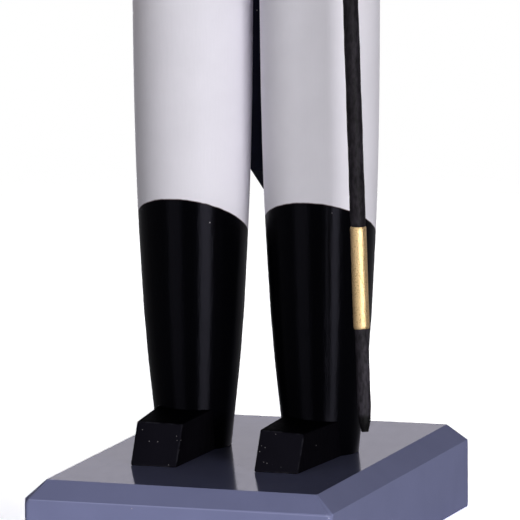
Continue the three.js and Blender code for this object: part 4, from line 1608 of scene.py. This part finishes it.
@dataclass
class Lever:
    """The lever board, the lower jaw with its teeth, and the fur beard."""

    beam_depth: float = 16 * MM
    pivot_drop: float = 28 * MM
    nut_drop: float = 4.5 * MM
    nut_back: float = -10.5 * MM
    headroom: float = 1.2 * MM
    nape: float = 6 * MM
    nape_drop: float = 8 * MM
    breast: float = -16.2 * MM
    tail_proud: float = 4 * MM
    tail_gap: float = 1.3 * MM
    tail_slope: float = 0.6466
    edge: float = 0.9 * MM
    jaw_depth: float = 14 * MM
    jaw_edge: float = 0.7 * MM
    chin_drop: float = 32 * MM
    chin_bow: float = 3.5 * MM
    tooth: float = 6 * MM
    tooth_edge: float = 0.5 * MM
    teeth: int = 5
    beard_locks: int = 170
    beard_strands: int = 17
    beard_tuck: float = 1.6 * MM

    def __post_init__(self) -> None:
        """Take the pivot from the joint and the outline's reach from the nodes."""
        self.pivot = Vector(frame["joints"][0]["pos_m"])
        board_box, jaw_box = Box.of("jaw_lever"), Box.of("lower_jaw")
        self.half = board_box.size.x / 2
        self.back = board_box.high.y - self.pivot.y
        self.tail_tip = board_box.low.z - self.pivot.z
        self.beam_front = board_box.low.y - self.pivot.y
        self.tail_front = Box.of("right_leg").high.y + self.tail_gap - self.pivot.y
        self.jaw_back = jaw_box.high.y - self.pivot.y
        self.jaw_front = self.jaw_back - self.jaw_depth
        self.nut_floor = self.pivot_drop - self.nut_drop
        self.jaw_face = self.pivot.y + self.jaw_front
        self.jaw_top = self.pivot.z + self.pivot_drop

    def build(self) -> None:
        """Make the pieces that swing together."""
        self.lever_board()
        self.jaw()
        self.lower_teeth()
        self.lower_lip()
        self.beard()

    def cut(self, name: str, edge: float, *stretches: object) -> Piece:
        """Cut a board along an outline and round its edges.

        Args:
            name: The piece's name.
            edge: Width of the rounding.
            stretches: The outline's stretches, as rows of Y and Z from the pivot.

        Returns:
            The board.
        """
        outline = np.vstack(stretches) + np.array([self.pivot.y, self.pivot.z])
        piece = board(name, outline[::-1], self.half)
        soften(piece, edge)
        return piece

    def lever_board(self) -> None:
        """Cut the lever's board: the beam through the body and the tail down the back."""
        front, back, depth, tail = self.beam_front, self.back, self.beam_depth, self.tail_front
        top = self.pivot_drop - self.headroom
        nut = [(self.nut_back, self.nut_floor), (self.nut_back + self.nut_drop, top)]
        bend = (back - self.tail_proud, self.pivot_drop - self.nape_drop)
        nape = bezier(18, (self.nape, top), bend, (back, self.breast))
        tip = [(back, self.tail_tip), (tail, self.tail_tip + self.tail_slope * (back - tail))]
        elbow = bezier(18, (tail, -2 * depth), (tail, -depth), (tail - depth, -depth))
        beam = [(front, -depth), (front, self.nut_floor)]
        piece = self.cut("lever_board", self.edge, beam, nut, nape, tip, elbow)
        # The board takes the darkened navy, painted shade for the dark gap between the legs.
        dress(piece, SHADE_DARKENED_NAVY_BOARD, Slot.COAT, "jaw_lever", body=Body.LEVER)

    def jaw(self) -> None:
        """Cut the jaw from a board with a rounded chin."""
        front, drop, top = self.jaw_front, self.chin_drop, self.pivot_drop
        bow = front - self.chin_bow
        chin = bezier(24, (front, -drop), (bow, -drop * 0.6), (bow, -drop * 0.1), (front, top - self.tooth))
        ledge = [(front, top), (front + self.tooth, top), (front + self.tooth, self.nut_floor)]
        foot, seat = [(self.jaw_back, -drop)], [(self.jaw_back, self.nut_floor)]
        piece = self.cut("jaw_block", self.jaw_edge, foot, chin, ledge, seat)
        dress(piece, FLESH, Slot.SKIN, "lower_jaw", body=Body.LEVER)

    def lower_teeth(self) -> None:
        """Set a row of teeth in the jaw's front edge.

        Each is a rounded rectangle that rolls over in front: inset by edge * (1 - cos) as it comes
        ahead by edge * sin.
        """
        edge = self.tooth_edge
        pitch = 2 * (self.half - 1.0 * MM) / self.teeth
        roll = np.linspace(0, TAU / 4, 4)
        inset = np.concatenate([[0.0], edge * (1 - np.cos(roll))])
        ahead = np.concatenate([[-1.0 * MM], edge * np.sin(roll)])
        half = np.array([pitch / 2 - 0.12 * MM, (self.tooth - 0.6 * MM) / 2])
        section = rounded(half - inset[:, None, None], edge, 4)
        middles = (np.arange(self.teeth) - (self.teeth - 1) / 2) * pitch
        height = self.jaw_top - self.tooth / 2 - 0.1 * MM
        x, z = middles[:, None, None] + section[..., 0], height + section[..., 1]
        points = grid(x, self.jaw_face - ahead[:, None], z)
        piece = make("lower_teeth", points, grid_faces(*points.shape[:3]))
        dress(piece, TOOTH, Slot.SKIN, body=Body.LEVER)

    def lower_lip(self) -> None:
        """Paint the lip under the teeth, narrowing at its ends as the root of 1 - x^4 does."""
        run = np.linspace(-self.half + 0.6 * MM, self.half - 0.6 * MM, 30)
        path = grid(run, self.jaw_face - 0.1 * MM, self.jaw_top - self.tooth - 0.7 * MM)
        swell = 1.1 * MM * np.sqrt(np.clip(1 - (run / self.half) ** 4, 0.02, 1))
        dress(tubes("lower_lip", path, AHEAD, 12, swell, 0.6 * MM), LIP, Slot.SKIN, body=Body.LEVER)

    def beard(self) -> None:
        """Grow the beard in locks from the chin over a backing, no wider than the lever's slot.

        The backing's sections are ellipses that swell as the root of 1 - x^2 on the way down.
        """
        tip = Box.of("beard").low.z
        rng = np.random.default_rng(11)
        count = self.beard_locks
        across = (rng.random(count) * 2 - 1) * 0.86
        share = rng.random(count) ** 0.75
        half = self.half - 1.2 * MM
        chin = self.jaw_face - self.beard_tuck
        top = self.jaw_top - self.tooth - 5 * MM
        low = self.pivot.z - self.chin_drop + 4 * MM
        root = grid(across * half, chin, top - (top - low) * share)
        out = unit(grid(0.45 * across, -1.0, 0.0))
        length = np.minimum(root[:, 2] - tip + 1 * MM, (17 + 12 * rng.random(count)) * MM)
        grow_fur(
            "beard", Body.LEVER, root, out, length, self.beard_strands,
            width=2.0 * MM, lift=5.2 * MM, rng=rng, limit=self.half - 0.2 * MM,
        )
        fall = np.linspace(0, 1, 24)[:, None]
        swell = np.sqrt(np.clip(1 - (2 * fall - 0.95) ** 2, 0.0, 1))
        start, turn = top + 2 * MM, circle(28)
        shell = grid(
            swell * (half - 0.8 * MM) * np.cos(turn),
            chin + 0.6 * MM + swell * 4.6 * MM * np.sin(turn),
            start - (start - tip - 3 * MM) * fall,
        )
        # The backing takes a low tone, darker than the strands: painted shade under the fur.
        dress(loft("beard_backing", shell, tone=0.4), WHITE_FUR, Slot.FUR, body=Body.LEVER)


@dataclass
class Shako:
    """The tall black hat with its gold bands, peak, plate and plume."""

    foot_radius: float = 28 * MM
    flare: float = 4 * MM
    rim: float = 3 * MM
    dish: float = 0.6 * MM
    band_lift: float = 0.2 * MM
    band_thickness: float = 0.9 * MM
    cord: float = 0.55 * MM
    cord_inset: float = 0.5 * MM
    peak_reach: float = 14 * MM
    peak_slope: float = math.tan(math.radians(20))
    peak_thickness: float = 2.2 * MM
    peak_edge: float = 0.7 * MM
    peak_tuck: float = 0.5 * MM
    peak_half_angle: float = math.radians(43)
    plate_rays: int = 16
    plume_flutes: int = 11

    def __post_init__(self) -> None:
        """Work out the hat's wall from its node: it flares with the square of the height."""
        box = Box.of("hat_body")
        self.foot, self.top = box.low.z, box.high.z
        self.axis = (0.0, box.middle.y)
        height = np.linspace(0, 1, 40)
        radius = self.foot_radius + self.flare * height**2
        self.wall = Turning(self.axis, self.foot + height * (self.top - self.foot), radius)

    def build(self) -> None:
        """Make the hat and its trim."""
        self.body()
        for name in ("hat_lower_band", "hat_upper_band"):
            self.band(name)
        self.peak()
        self.plate()
        self.plume()

    def body(self) -> None:
        """Turn the hat's body, with a raised rim, and dish its top by 1 - r^2 at share r of the way out."""
        below = self.wall.heights < self.top - self.rim
        wall = grid(self.wall.radii[below], self.wall.heights[below])
        steps = [(-0.4, -3.0), (0.0, -2.4), (0.0, -0.6), (-0.6, 0.0), (-2.4, 0.0), (-3.2, -0.8)]
        rim = np.array(steps) * MM + (self.foot_radius + self.flare, self.top)
        share, (inner, brink) = np.linspace(0.9, 0, 12), rim[-1]
        dish = grid(share * inner, brink - self.dish * (1 - share**2))
        stand = Matrix.Translation((*self.axis, 0.0))
        piece = turned_about("hat_turning", np.vstack([wall, rim, dish]), stand, 128)
        dress(piece, HAT_BLACK, Slot.HAT, "hat_body")

    def band(self, name: str) -> None:
        """Wrap one braided band, with a cord along each edge.

        Args:
            name: The band's node.
        """
        box = Box.of(name)
        finish = Braid(f"{name}_braid", middle=(*self.axis, box.middle.z), radius=self.foot_radius)
        strap = self.wall.strap(f"{name}_strap", box, self.band_lift, self.band_thickness)
        dress(strap, finish, Slot.GOLD, name)
        turn = circle(10)
        lift = self.band_lift + self.band_thickness + self.cord * np.cos(turn)
        for edge, height in (("low", box.low.z + self.cord_inset), ("high", box.high.z - self.cord_inset)):
            points = self.wall.at(circle(144)[:, None], height + self.cord * np.sin(turn), lift)
            dress(hoop(f"{name}_{edge}_cord", points), GOLD, Slot.GOLD)

    def on_peak(self, angle: np.ndarray, reach: np.ndarray, lift: Amount = 0.0) -> np.ndarray:
        """Find places in the peak's middle layer, which slopes down ahead of the hat's foot.

        Args:
            angle: Angle from the front.
            reach: Distance from the hat's axis.
            lift: Height over the layer.

        Returns:
            The places.
        """
        x, y = reach * np.sin(angle), -reach * np.cos(angle)
        rise = (y + self.foot_radius) * self.peak_slope + self.peak_thickness / 2
        return grid(self.axis[0] + x, self.axis[1] + y, self.foot + rise + lift)

    def peak(self) -> None:
        """Loft the peak, at each angle a strip from the hat's foot to an oval edge, and pipe its edge."""
        angle = np.linspace(-self.peak_half_angle, self.peak_half_angle, 64)
        inner, long = self.foot_radius - self.peak_tuck, self.foot_radius + self.peak_reach
        outer = 1 / np.hypot(np.sin(angle) / self.foot_radius, np.cos(angle) / long)
        half = grid((outer - inner) / 2, self.peak_thickness / 2)
        section = rounded(half[:, None], self.peak_edge, 5)
        reach = ((outer + inner) / 2)[:, None] + section[..., 0]
        leather = loft("peak_leather", self.on_peak(angle[:, None], reach, section[..., 1]))
        dress(leather, BLACK_LEATHER, Slot.BLACK_LEATHER, "hat_peak")
        piping = tubes("peak_piping", self.on_peak(angle, outer), UP, 12, 0.8 * MM, 1.3 * MM)
        dress(piping, GOLD, Slot.GOLD)

    def plate(self) -> None:
        """Raise a plain sunburst on the front of the hat, with a domed boss in its middle.

        Its edge waves as the absolute value of a cosine, once for each ray, and its boss rises as the
        root of 1 - r^2. The last two rows close its back.
        """
        box = Box.of("hat_plate")
        share = np.concatenate([np.linspace(0, 1, 26), [0.98, 0.0]])[:, None]
        turn = circle(128)
        ray = np.abs(np.cos(self.plate_rays * turn / 2))
        crest = (0.5 + 1.1 * ray * (1 - share) ** 0.5) * ease((share - 0.36) / 0.1)
        boss = 2.6 * np.sqrt(np.clip(1 - (share / 0.38) ** 2, 0, 1))
        lift = (0.35 + np.maximum(crest, boss)) * MM
        lift[-2:] = -0.4 * MM
        out = share * box.size.x / 2 * (0.8 + 0.2 * ray)
        height = box.middle.z + out * np.cos(turn)
        angle = np.arcsin(out * np.sin(turn) / self.wall.radius(height))
        dress(loft("plate_sunburst", self.wall.at(angle, height, lift)), BRASS, Slot.BRASS, "hat_plate")

    def plume(self) -> None:
        """Turn the plume, as wide as the root of a sine, and cut it with slowly twisting flutes.

        The flutes go with the absolute value of a sine of the turn plus a share of the height.
        """
        box = Box.of("plume")
        share, turn = np.linspace(0, 1, 60)[:, None], circle(132)
        radius = box.size.x / 2 * np.sqrt(np.clip(np.sin(math.pi * (0.06 + 0.94 * share**0.8)), 0, 1))
        wave = np.abs(np.sin(self.plume_flutes * (turn + 0.9 * share) / 2))
        points = polar(radius * (0.86 + 0.14 * wave**0.6), turn, box.size.z * share)
        stand = Matrix.Translation((box.middle.x, box.middle.y, box.low.z))
        dress(loft("plume_carving", placed(points, stand)), SCARLET, Slot.PLUME, "plume")


@dataclass
class Arm:
    """One arm: a turned upper arm, a forearm mitred to it, a cuff and a closed hand."""

    side: Side
    radius: float = 11 * MM
    elbow: float = 9 * MM
    wrist: float = 7.6 * MM
    cuff: float = 9.4 * MM
    cuff_height: float = 9 * MM
    cuff_cord: float = 0.65 * MM
    upper_length: float = 42 * MM
    fore_length: float = 31 * MM
    hand_radius: float = 7.4 * MM
    hand_length: float = 15 * MM
    thumb: float = 2.0 * MM
    tilt: float = math.radians(5)
    bend: float = math.radians(30)
    shoulder_rise: float = 1 * MM

    def build(self, coat: Coat) -> None:
        """Make the arm's pieces from the shoulder down.

        Args:
            coat: The coat that carries the arm.
        """
        box = Box.of(f"{self.side.word}_upper_arm")
        shoulder = Vector((box.middle.x, coat.axis[1], coat.breast + self.shoulder_rise))
        self.upper = Matrix.Translation(shoulder) @ Matrix.Rotation(-self.tilt, 4, "X")
        down = Matrix.Translation((0.0, 0.0, -self.upper_length))
        self.fore = self.upper @ down @ Matrix.Rotation(-self.bend, 4, "X")
        self.upper_arm()
        self.forearm()
        self.hand()

    def mitred(self, profile: np.ndarray, sign: float) -> np.ndarray:
        """Turn a profile whose end lies on the elbow's slanting cut.

        A point is raised by near * tan(bend / 2) * y, where near eases from 1 at the elbow to 0.

        Args:
            profile: Rows of radius and distance from the elbow along the limb.
            sign: Which way the cut slants.

        Returns:
            Rows of points round the limb, in its own frame.
        """
        turn = circle(64)
        out, along = profile.T[:, :, None]
        near = 1 - ease(np.abs(along) / (1.6 * self.elbow))
        slant = sign * math.tan(self.bend / 2) * out * np.sin(turn)
        return polar(out, turn, along + near * slant)

    def upper_arm(self) -> None:
        """Turn the upper arm, closed over the shoulder by a quarter of a circle."""
        node = f"{self.side.word}_upper_arm"
        length, top = self.upper_length, np.linspace(0, TAU / 4, 14)[1:]
        slim, full = (self.elbow + 0.5 * MM, length * 0.2), (self.radius, length * 0.66)
        swell = through([(self.elbow, 0.0), slim, full, (self.radius, length)], 30)
        ball = grid(self.radius * np.cos(top), length + self.radius * np.sin(top))
        points = self.mitred(np.vstack([swell, ball]), -1.0) - np.array([0.0, 0.0, length])
        dress(loft(f"{node}_turning", placed(points, self.upper)), NAVY_SLEEVE, Slot.COAT, node)

    def forearm(self) -> None:
        """Turn the forearm and its turned-back cuff, edged with gold."""
        node = f"{self.side.word}_forearm"
        top, end = self.cuff_height - self.fore_length, -self.fore_length
        sleeve = through([(self.elbow, 0.0), (self.elbow, -6 * MM), (self.wrist, top)], 20)
        cuff = [
            (self.wrist, top - 0.05 * MM), (self.cuff - 0.5 * MM, top), (self.cuff, top - 0.5 * MM),
            (self.cuff + 0.2 * MM, end + 0.5 * MM), (self.cuff - 0.4 * MM, end),
            (self.wrist - 1.5 * MM, end), (self.wrist - 1.8 * MM, end + 1.5 * MM),
        ]
        points = self.mitred(np.vstack([sleeve, cuff]), 1.0)
        axis = (self.fore.to_3x3() @ Vector(UP)).normalized()
        elbow = axis.dot(self.fore.translation)
        zone = Zone(tuple(axis), elbow + end - 2 * MM, elbow + top + 0.05 * MM, SCARLET_TONE)
        paint = ZonedPaint(f"{self.side.word}_sleeve_paint", NAVY_TONE, roughness=0.38, zones=(zone,))
        dress(loft(f"{node}_turning", placed(points, self.fore)), paint, Slot.COAT, node)
        turn = circle(10)
        out = self.cuff - 0.1 * MM + self.cuff_cord * np.cos(turn)
        ring = polar(out, circle(64)[:, None], top + self.cuff_cord * np.sin(turn))
        dress(hoop(f"{node}_cuff_braid", placed(ring, self.fore)), GOLD, Slot.GOLD)

    def hand(self) -> None:
        """Carve a closed hand: four curled fingers in front and a thumb laid across them.

        Its section is a rounded square, the set of x^3 + y^3 = 1, that swells and closes along its
        length. The furrows between the fingers are the zeros of a sine of four half waves.
        """
        node = f"{self.side.word}_hand"
        share, turn = np.linspace(0, 1, 64)[:, None], circle(56)
        body = np.clip(1 - np.abs(2 * share - 1) ** 2.6, 0, 1) ** 0.5
        front = ease((-np.sin(turn) + 0.15) / 0.5)
        finger = np.abs(np.sin(math.pi * 4 * np.clip((share - 0.16) / 0.8, 0, 1))) ** 0.5
        ridge = 1 - 0.09 * front * (1 - finger) * body
        square = (np.abs(np.cos(turn)) ** 3 + np.abs(np.sin(turn)) ** 3) ** (-1 / 3)
        along = -self.fore_length + 1.2 * MM - (self.hand_length + 1.0 * MM) * share
        points = polar(self.hand_radius * 0.93 * body * ridge * square, turn, along) * (0.88, 1.0, 1.0)
        dress(loft(f"{node}_carving", placed(points, self.fore)), FLESH, Slot.SKIN, node)
        route = [(0.75, -0.1, 0.1), (0.82, -0.55, 0.3), (0.5, -0.98, 0.45), (0.0, -1.04, 0.5)]
        across = -self.side.value * self.hand_radius
        path = through(np.array(route) * (across, self.hand_radius, -self.hand_length), 20)
        path[:, 2] -= self.fore_length
        thick = self.thumb * np.sqrt(np.clip(1 - np.linspace(-0.6, 1, 20) ** 4, 0.02, 1))
        dress(tubes(f"{node}_thumb", placed(path, self.fore), UP, 14, thick), FLESH, Slot.SKIN)


@dataclass
class Sabre:
    """The sabre in its scabbard, leaning out at the tip, with its fittings."""

    rod: float = 2.15 * MM
    end: float = 1.9 * MM
    tip: float = 0.95 * MM
    taper: float = 7 * MM
    band_start: float = 28.8 * MM
    band_length: float = 28.4 * MM
    band: float = 2.25 * MM
    band_rough: float = 0.05 * MM
    locket_length: float = 12 * MM
    locket_lift: float = 0.7 * MM
    hilt_gap: float = 0.2 * MM
    guard_height: float = 2.2 * MM
    wire: float = 0.28 * MM
    wire_turns: int = 9

    def __post_init__(self) -> None:
        """Stand the scabbard on the line through the middles of its guard and its band."""
        box, top, low = Box.of("scabbard"), Box.of("sabre_guard").middle, Box.of("scabbard_band").middle
        axis = (top - low).normalized()
        self.stand = facing(low + axis * ((box.low.z - low.z) / axis.z), axis)
        self.length = box.size.z / axis.z

    def build(self) -> None:
        """Make the scabbard and its fittings from the tip up."""
        self.scabbard()
        head = self.band_start + self.band_length
        band = self.sleeve("scabbard_band_leaf", self.band_start, head, self.band, self.band_rough)
        dress(band, BAND_GOLD, Slot.GOLD, "scabbard_band")
        mouth = self.length - self.locket_length
        locket = self.sleeve("locket_sleeve", mouth, self.length, self.rod + self.locket_lift)
        dress(locket, BRASS, Slot.BRASS, "scabbard_locket")
        self.hilt()

    def scabbard(self) -> None:
        """Turn the rod with a blunt tapered tip, its radius uneven by two slow sines."""
        taper, end = self.taper, self.end
        along = np.concatenate([np.linspace(0, taper, 14), np.linspace(taper, self.length, 120)[1:]])
        head = self.band_start + self.band_length
        out = np.interp(along, [0, taper * 0.4, taper], [self.tip, end * 0.86, end])
        out = out + (self.rod - end) * ease((along - head + 1 * MM) / (2 * MM))
        out = out * (1 + 0.018 * np.sin(along / MM * 0.31) + 0.012 * np.sin(along / MM * 0.83 + 1))
        piece = turned_about("scabbard_rod", grid(out, along), self.stand, 40)
        dress(piece, STAIN, Slot.SCABBARD, "scabbard")

    def sleeve(self, name: str, low: float, high: float, radius: float, ragged: float = 0.0) -> Piece:
        """Roll a sleeve round the rod, its ends turned in and waved as two sines are.

        Args:
            name: The piece's name.
            low: Where it starts, from the scabbard's tip.
            high: Where it ends.
            radius: Its radius.
            ragged: Height of the waves.

        Returns:
            The sleeve.
        """
        turn, share = circle(48), np.linspace(0, 1, 60)[:, None]
        off = 2 * share - 1
        rough = ragged * (np.sin(3 * turn + 0.6) + 0.6 * np.sin(7 * turn + 2.1))
        height = low + (high - low) * share + np.abs(off) ** 12 * np.sign(off) * rough
        out = radius * (1 - 0.07 * np.abs(off) ** 120)
        return loft(name, placed(polar(out, turn, height), self.stand))

    def hilt(self) -> None:
        """Turn the guard, the leather grip and its pommel, and wind a helix of wire round the grip."""
        base = self.length + self.hilt_gap
        foot = base + self.guard_height
        disc = through([(0.0, 0.0), (4.6, 0.0), (6.0, 0.9), (5.0, 1.8), (2.8, 2.0), (0.0, 2.0)], 40)
        disc = turned_about("guard_disc", disc * MM + (0.0, base), self.stand, 56)
        dress(disc, BRASS, Slot.BRASS, "sabre_guard")
        grip = through([(2.2, 0.0), (2.7, 8.0), (2.7, 14.0), (2.2, 22.0)], 40)
        grip = turned_about("grip_leather", grip * MM + (0.0, foot), self.stand, 40)
        dress(grip, BLACK_LEATHER, Slot.BLACK_LEATHER, "sabre_grip")
        share = np.linspace(0, 1, 340)
        radius = np.interp(share, [0, 0.36, 0.64, 1], [2.3, 2.75, 2.75, 2.3]) * MM
        path = placed(polar(radius, self.wire_turns * TAU * share, foot + (1 + 20 * share) * MM), self.stand)
        wire = tubes("grip_wire", path, self.stand.to_3x3() @ Vector(UP), 8, self.wire)
        dress(wire, BRASS, Slot.BRASS)
        knob = through([(1.9, 21.6), (3.4, 23.0), (3.6, 24.6), (2.7, 26.6), (1.2, 27.5), (0.0, 27.75)], 30)
        knob = turned_about("pommel_knob", knob * MM + (0.0, foot), self.stand, 40)
        dress(knob, BRASS, Slot.BRASS)


@dataclass(frozen=True)
class SoftBox:
    """A soft lamp that faces the figure.

    The azimuth is in degrees round from the figure's front towards its left, away is the distance from
    the figure's axis, and mirrored tells whether shiny pieces mirror the box.
    """

    name: str
    azimuth: float
    height: float
    away: float
    wide: float
    tall: float
    power: float
    mirrored: bool = True
    aim: Vector3 = (0.0, 0.0, 0.16)

    def build(self) -> None:
        """Hang the lamp in its place."""
        data = bpy.data.lights.new(self.name, "AREA")
        data.shape = "RECTANGLE"
        data.size, data.size_y = self.wide, self.tall
        data.energy = self.power
        lamp = bpy.data.objects.new(self.name, data)
        place = Vector(outward(math.radians(self.azimuth)) * self.away + (0.0, 0.0, self.height))
        lamp.matrix_world = facing(place, Vector(self.aim) - place, "-Z")
        lamp.visible_glossy = self.mirrored
        bpy.context.scene.collection.objects.link(lamp)


@dataclass
class Studio:
    """The camera at the picture's view, the soft lamps, the pale floor and the white surround."""

    distance: float = 2.2629
    azimuth: float = math.radians(18.74)
    elevation: float = math.radians(8.80)
    roll: float = math.radians(-0.42)
    right_shift: float = 3.37 * MM
    up_shift: float = 78.03 * MM
    focal_pixels: float = 8000.0
    picture_pixels: float = 520.0
    sensor: float = 36.0
    floor_reach: float = 2.4
    lamps: tuple[SoftBox, ...] = (
        SoftBox("key_box", 44.0, 0.12, 1.7, 0.75, 0.22, 21.8),
        SoftBox("fill_box", -22.0, 0.16, 1.9, 1.0, 0.5, 7.3),
        SoftBox("side_box", 128.0, 0.25, 1.9, 0.5, 0.4, 1.2, mirrored=False),
        SoftBox("rear_box", 242.0, 0.25, 1.9, 0.5, 0.4, 2.0, mirrored=False),
        SoftBox("back_box", 203.0, 0.14, 1.9, 0.7, 0.28, 15.0, mirrored=False),
    )

    def build(self) -> None:
        """Set up everything that isn't the object."""
        self.camera()
        for lamp in self.lamps:
            lamp.build()
        self.world()
        self.floor()
        bpy.context.scene.view_settings.view_transform = "Standard"

    def camera(self) -> None:
        """Aim a long lens at the legs: turned to the view, moved back along it and rolled."""
        data = bpy.data.cameras.new("picture_camera")
        data.sensor_width = self.sensor
        data.lens = self.focal_pixels / self.picture_pixels * self.sensor
        data.clip_start, data.clip_end = 0.05, 60.0
        camera = bpy.data.objects.new("picture_camera", data)
        view = Matrix.Rotation(self.azimuth, 4, "Z") @ Matrix.Rotation(TAU / 4 - self.elevation, 4, "X")
        eye = Matrix.Translation((self.right_shift, self.up_shift, self.distance))
        camera.matrix_world = view @ eye @ Matrix.Rotation(self.roll, 4, "Z")
        bpy.context.scene.collection.objects.link(camera)
        bpy.context.scene.camera = camera

    def world(self) -> None:
        """Surround the figure with white, which it mirrors only low behind it and dimly at its right."""
        world = bpy.data.worlds.new("surround")
        world.use_nodes = True
        graph = Nodes(world.node_tree)
        path = graph.node("LightPath")
        camera = path["Is Camera Ray"]
        x, y, z = graph.node("SeparateXYZ", graph.node("TexCoord")["Generated"])
        low = graph.node("MapRange", z, 0.2, 0.3, 1.0, 0.08)[0]
        behind = graph.node("MapRange", y, 0.4, 0.85, 0.04, 1.0)[0]
        beside = graph.node("MapRange", x, -0.3, -0.75, 0.04, 0.35)[0]
        mirrored = graph.math("MULTIPLY", low, graph.math("MAXIMUM", behind, beside))
        cast = graph.node("MapRange", z, 0.03, 0.25, 0.52, 0.02)[0]
        seen = graph.math("MAXIMUM", camera, path["Is Glossy Ray"])
        seen = graph.math("MAXIMUM", seen, path["Is Transmission Ray"])
        white, lilac = (1.0, 1.0, 1.0, 1.0), (0.985, 0.95, 1.08, 1.0)
        lights = ((lilac, mirrored), (white, 1.0), (white, cast))
        mirror, plain, diffuse = (graph.node("Background", *light)[0] for light in lights)
        shown = graph.node("MixShader", camera, mirror, plain)[0]
        light = graph.node("MixShader", seen, diffuse, shown)[0]
        graph.feed(graph.nodes["World Output"].inputs["Surface"], light)
        graph.nodes.remove(graph.nodes["Background"])
        bpy.context.scene.world = world

    def floor(self) -> None:
        """Lay a wide pale floor that shows as white and keeps the figure's shadow."""
        reach = self.floor_reach
        mesh = bpy.data.meshes.new("floor")
        corners = [(-reach, -reach, 0), (reach, -reach, 0), (reach, reach, 0), (-reach, reach, 0)]
        mesh.from_pydata(corners, [], [(0, 1, 2, 3)])
        floor = bpy.data.objects.new("floor", mesh)
        bpy.context.scene.collection.objects.link(floor)
        graph = Graph("pale_floor")
        seen = graph.node("LightPath")["Is Camera Ray"]
        tone = graph.ramp(graph.noise(6, 3), 0.3, 0.7, 0.98, 1.0)
        colour = graph.mix(seen, (0.72, 0.72, 0.73, 1.0), (10.5, 10.5, 10.5, 1.0))
        near = graph.ramp(graph.distance(ORIGIN), 0.3 * reach, 0.1 * reach)
        shown = graph.math("MAXIMUM", graph.math("SUBTRACT", 1.0, seen), near)
        graph.shade(Base_Color=graph.scaled(colour, tone), Roughness=0.9, IOR=1.05, Alpha=shown)
        mesh.materials.append(graph.material)


def finish_plain_nodes() -> None:
    """Give the dowels, pins and other nodes that stay as they are their finish."""
    plain = {"dowel": BEECH, "plume_pin": BEECH, "pivot_pin": STEEL, "sabre_frog": WHITE_LEATHER}
    for node, shown in frame["nodes"].items():
        for word, finish in plain.items():
            if node.endswith(word):
                shown.data.materials.clear()
                shown.data.materials.append(material_of(finish))


def main() -> None:
    """Build the studio and every sub-assembly."""
    logging.basicConfig(level=logging.INFO, format="%(message)s")
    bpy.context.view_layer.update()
    Studio().build()
    lever = Lever()
    coat = Coat()
    Plinth().build()
    Leg(
        Side.RIGHT, boot_height=63.33 * MM, boot_slope=0.565, boot_lean=-0.001, toe_width=13.55 * MM,
        toe_inset=0.45 * MM, toe_front=11.53 * MM, toe_root=12.3 * MM, toe_tilt=0.024,
        shift=0.12 * MM, slant=0.0052, swell=0.0,
    ).build()
    Leg(
        Side.LEFT, boot_height=64.05 * MM, boot_slope=0.549, boot_lean=-0.038, toe_width=12.9 * MM,
        toe_inset=1.4 * MM, toe_front=10.72 * MM, toe_root=10.85 * MM, toe_tilt=0.059,
        shift=0.0, slant=0.002, swell=-0.002,
    ).build()
    coat.build(lever.pivot)
    lever.build()
    Head().build()
    Shako().build()
    for side in Side:
        Arm(side).build(coat)
    Sabre().build()
    finish_plain_nodes()


if __name__ == "__main__":
    main()
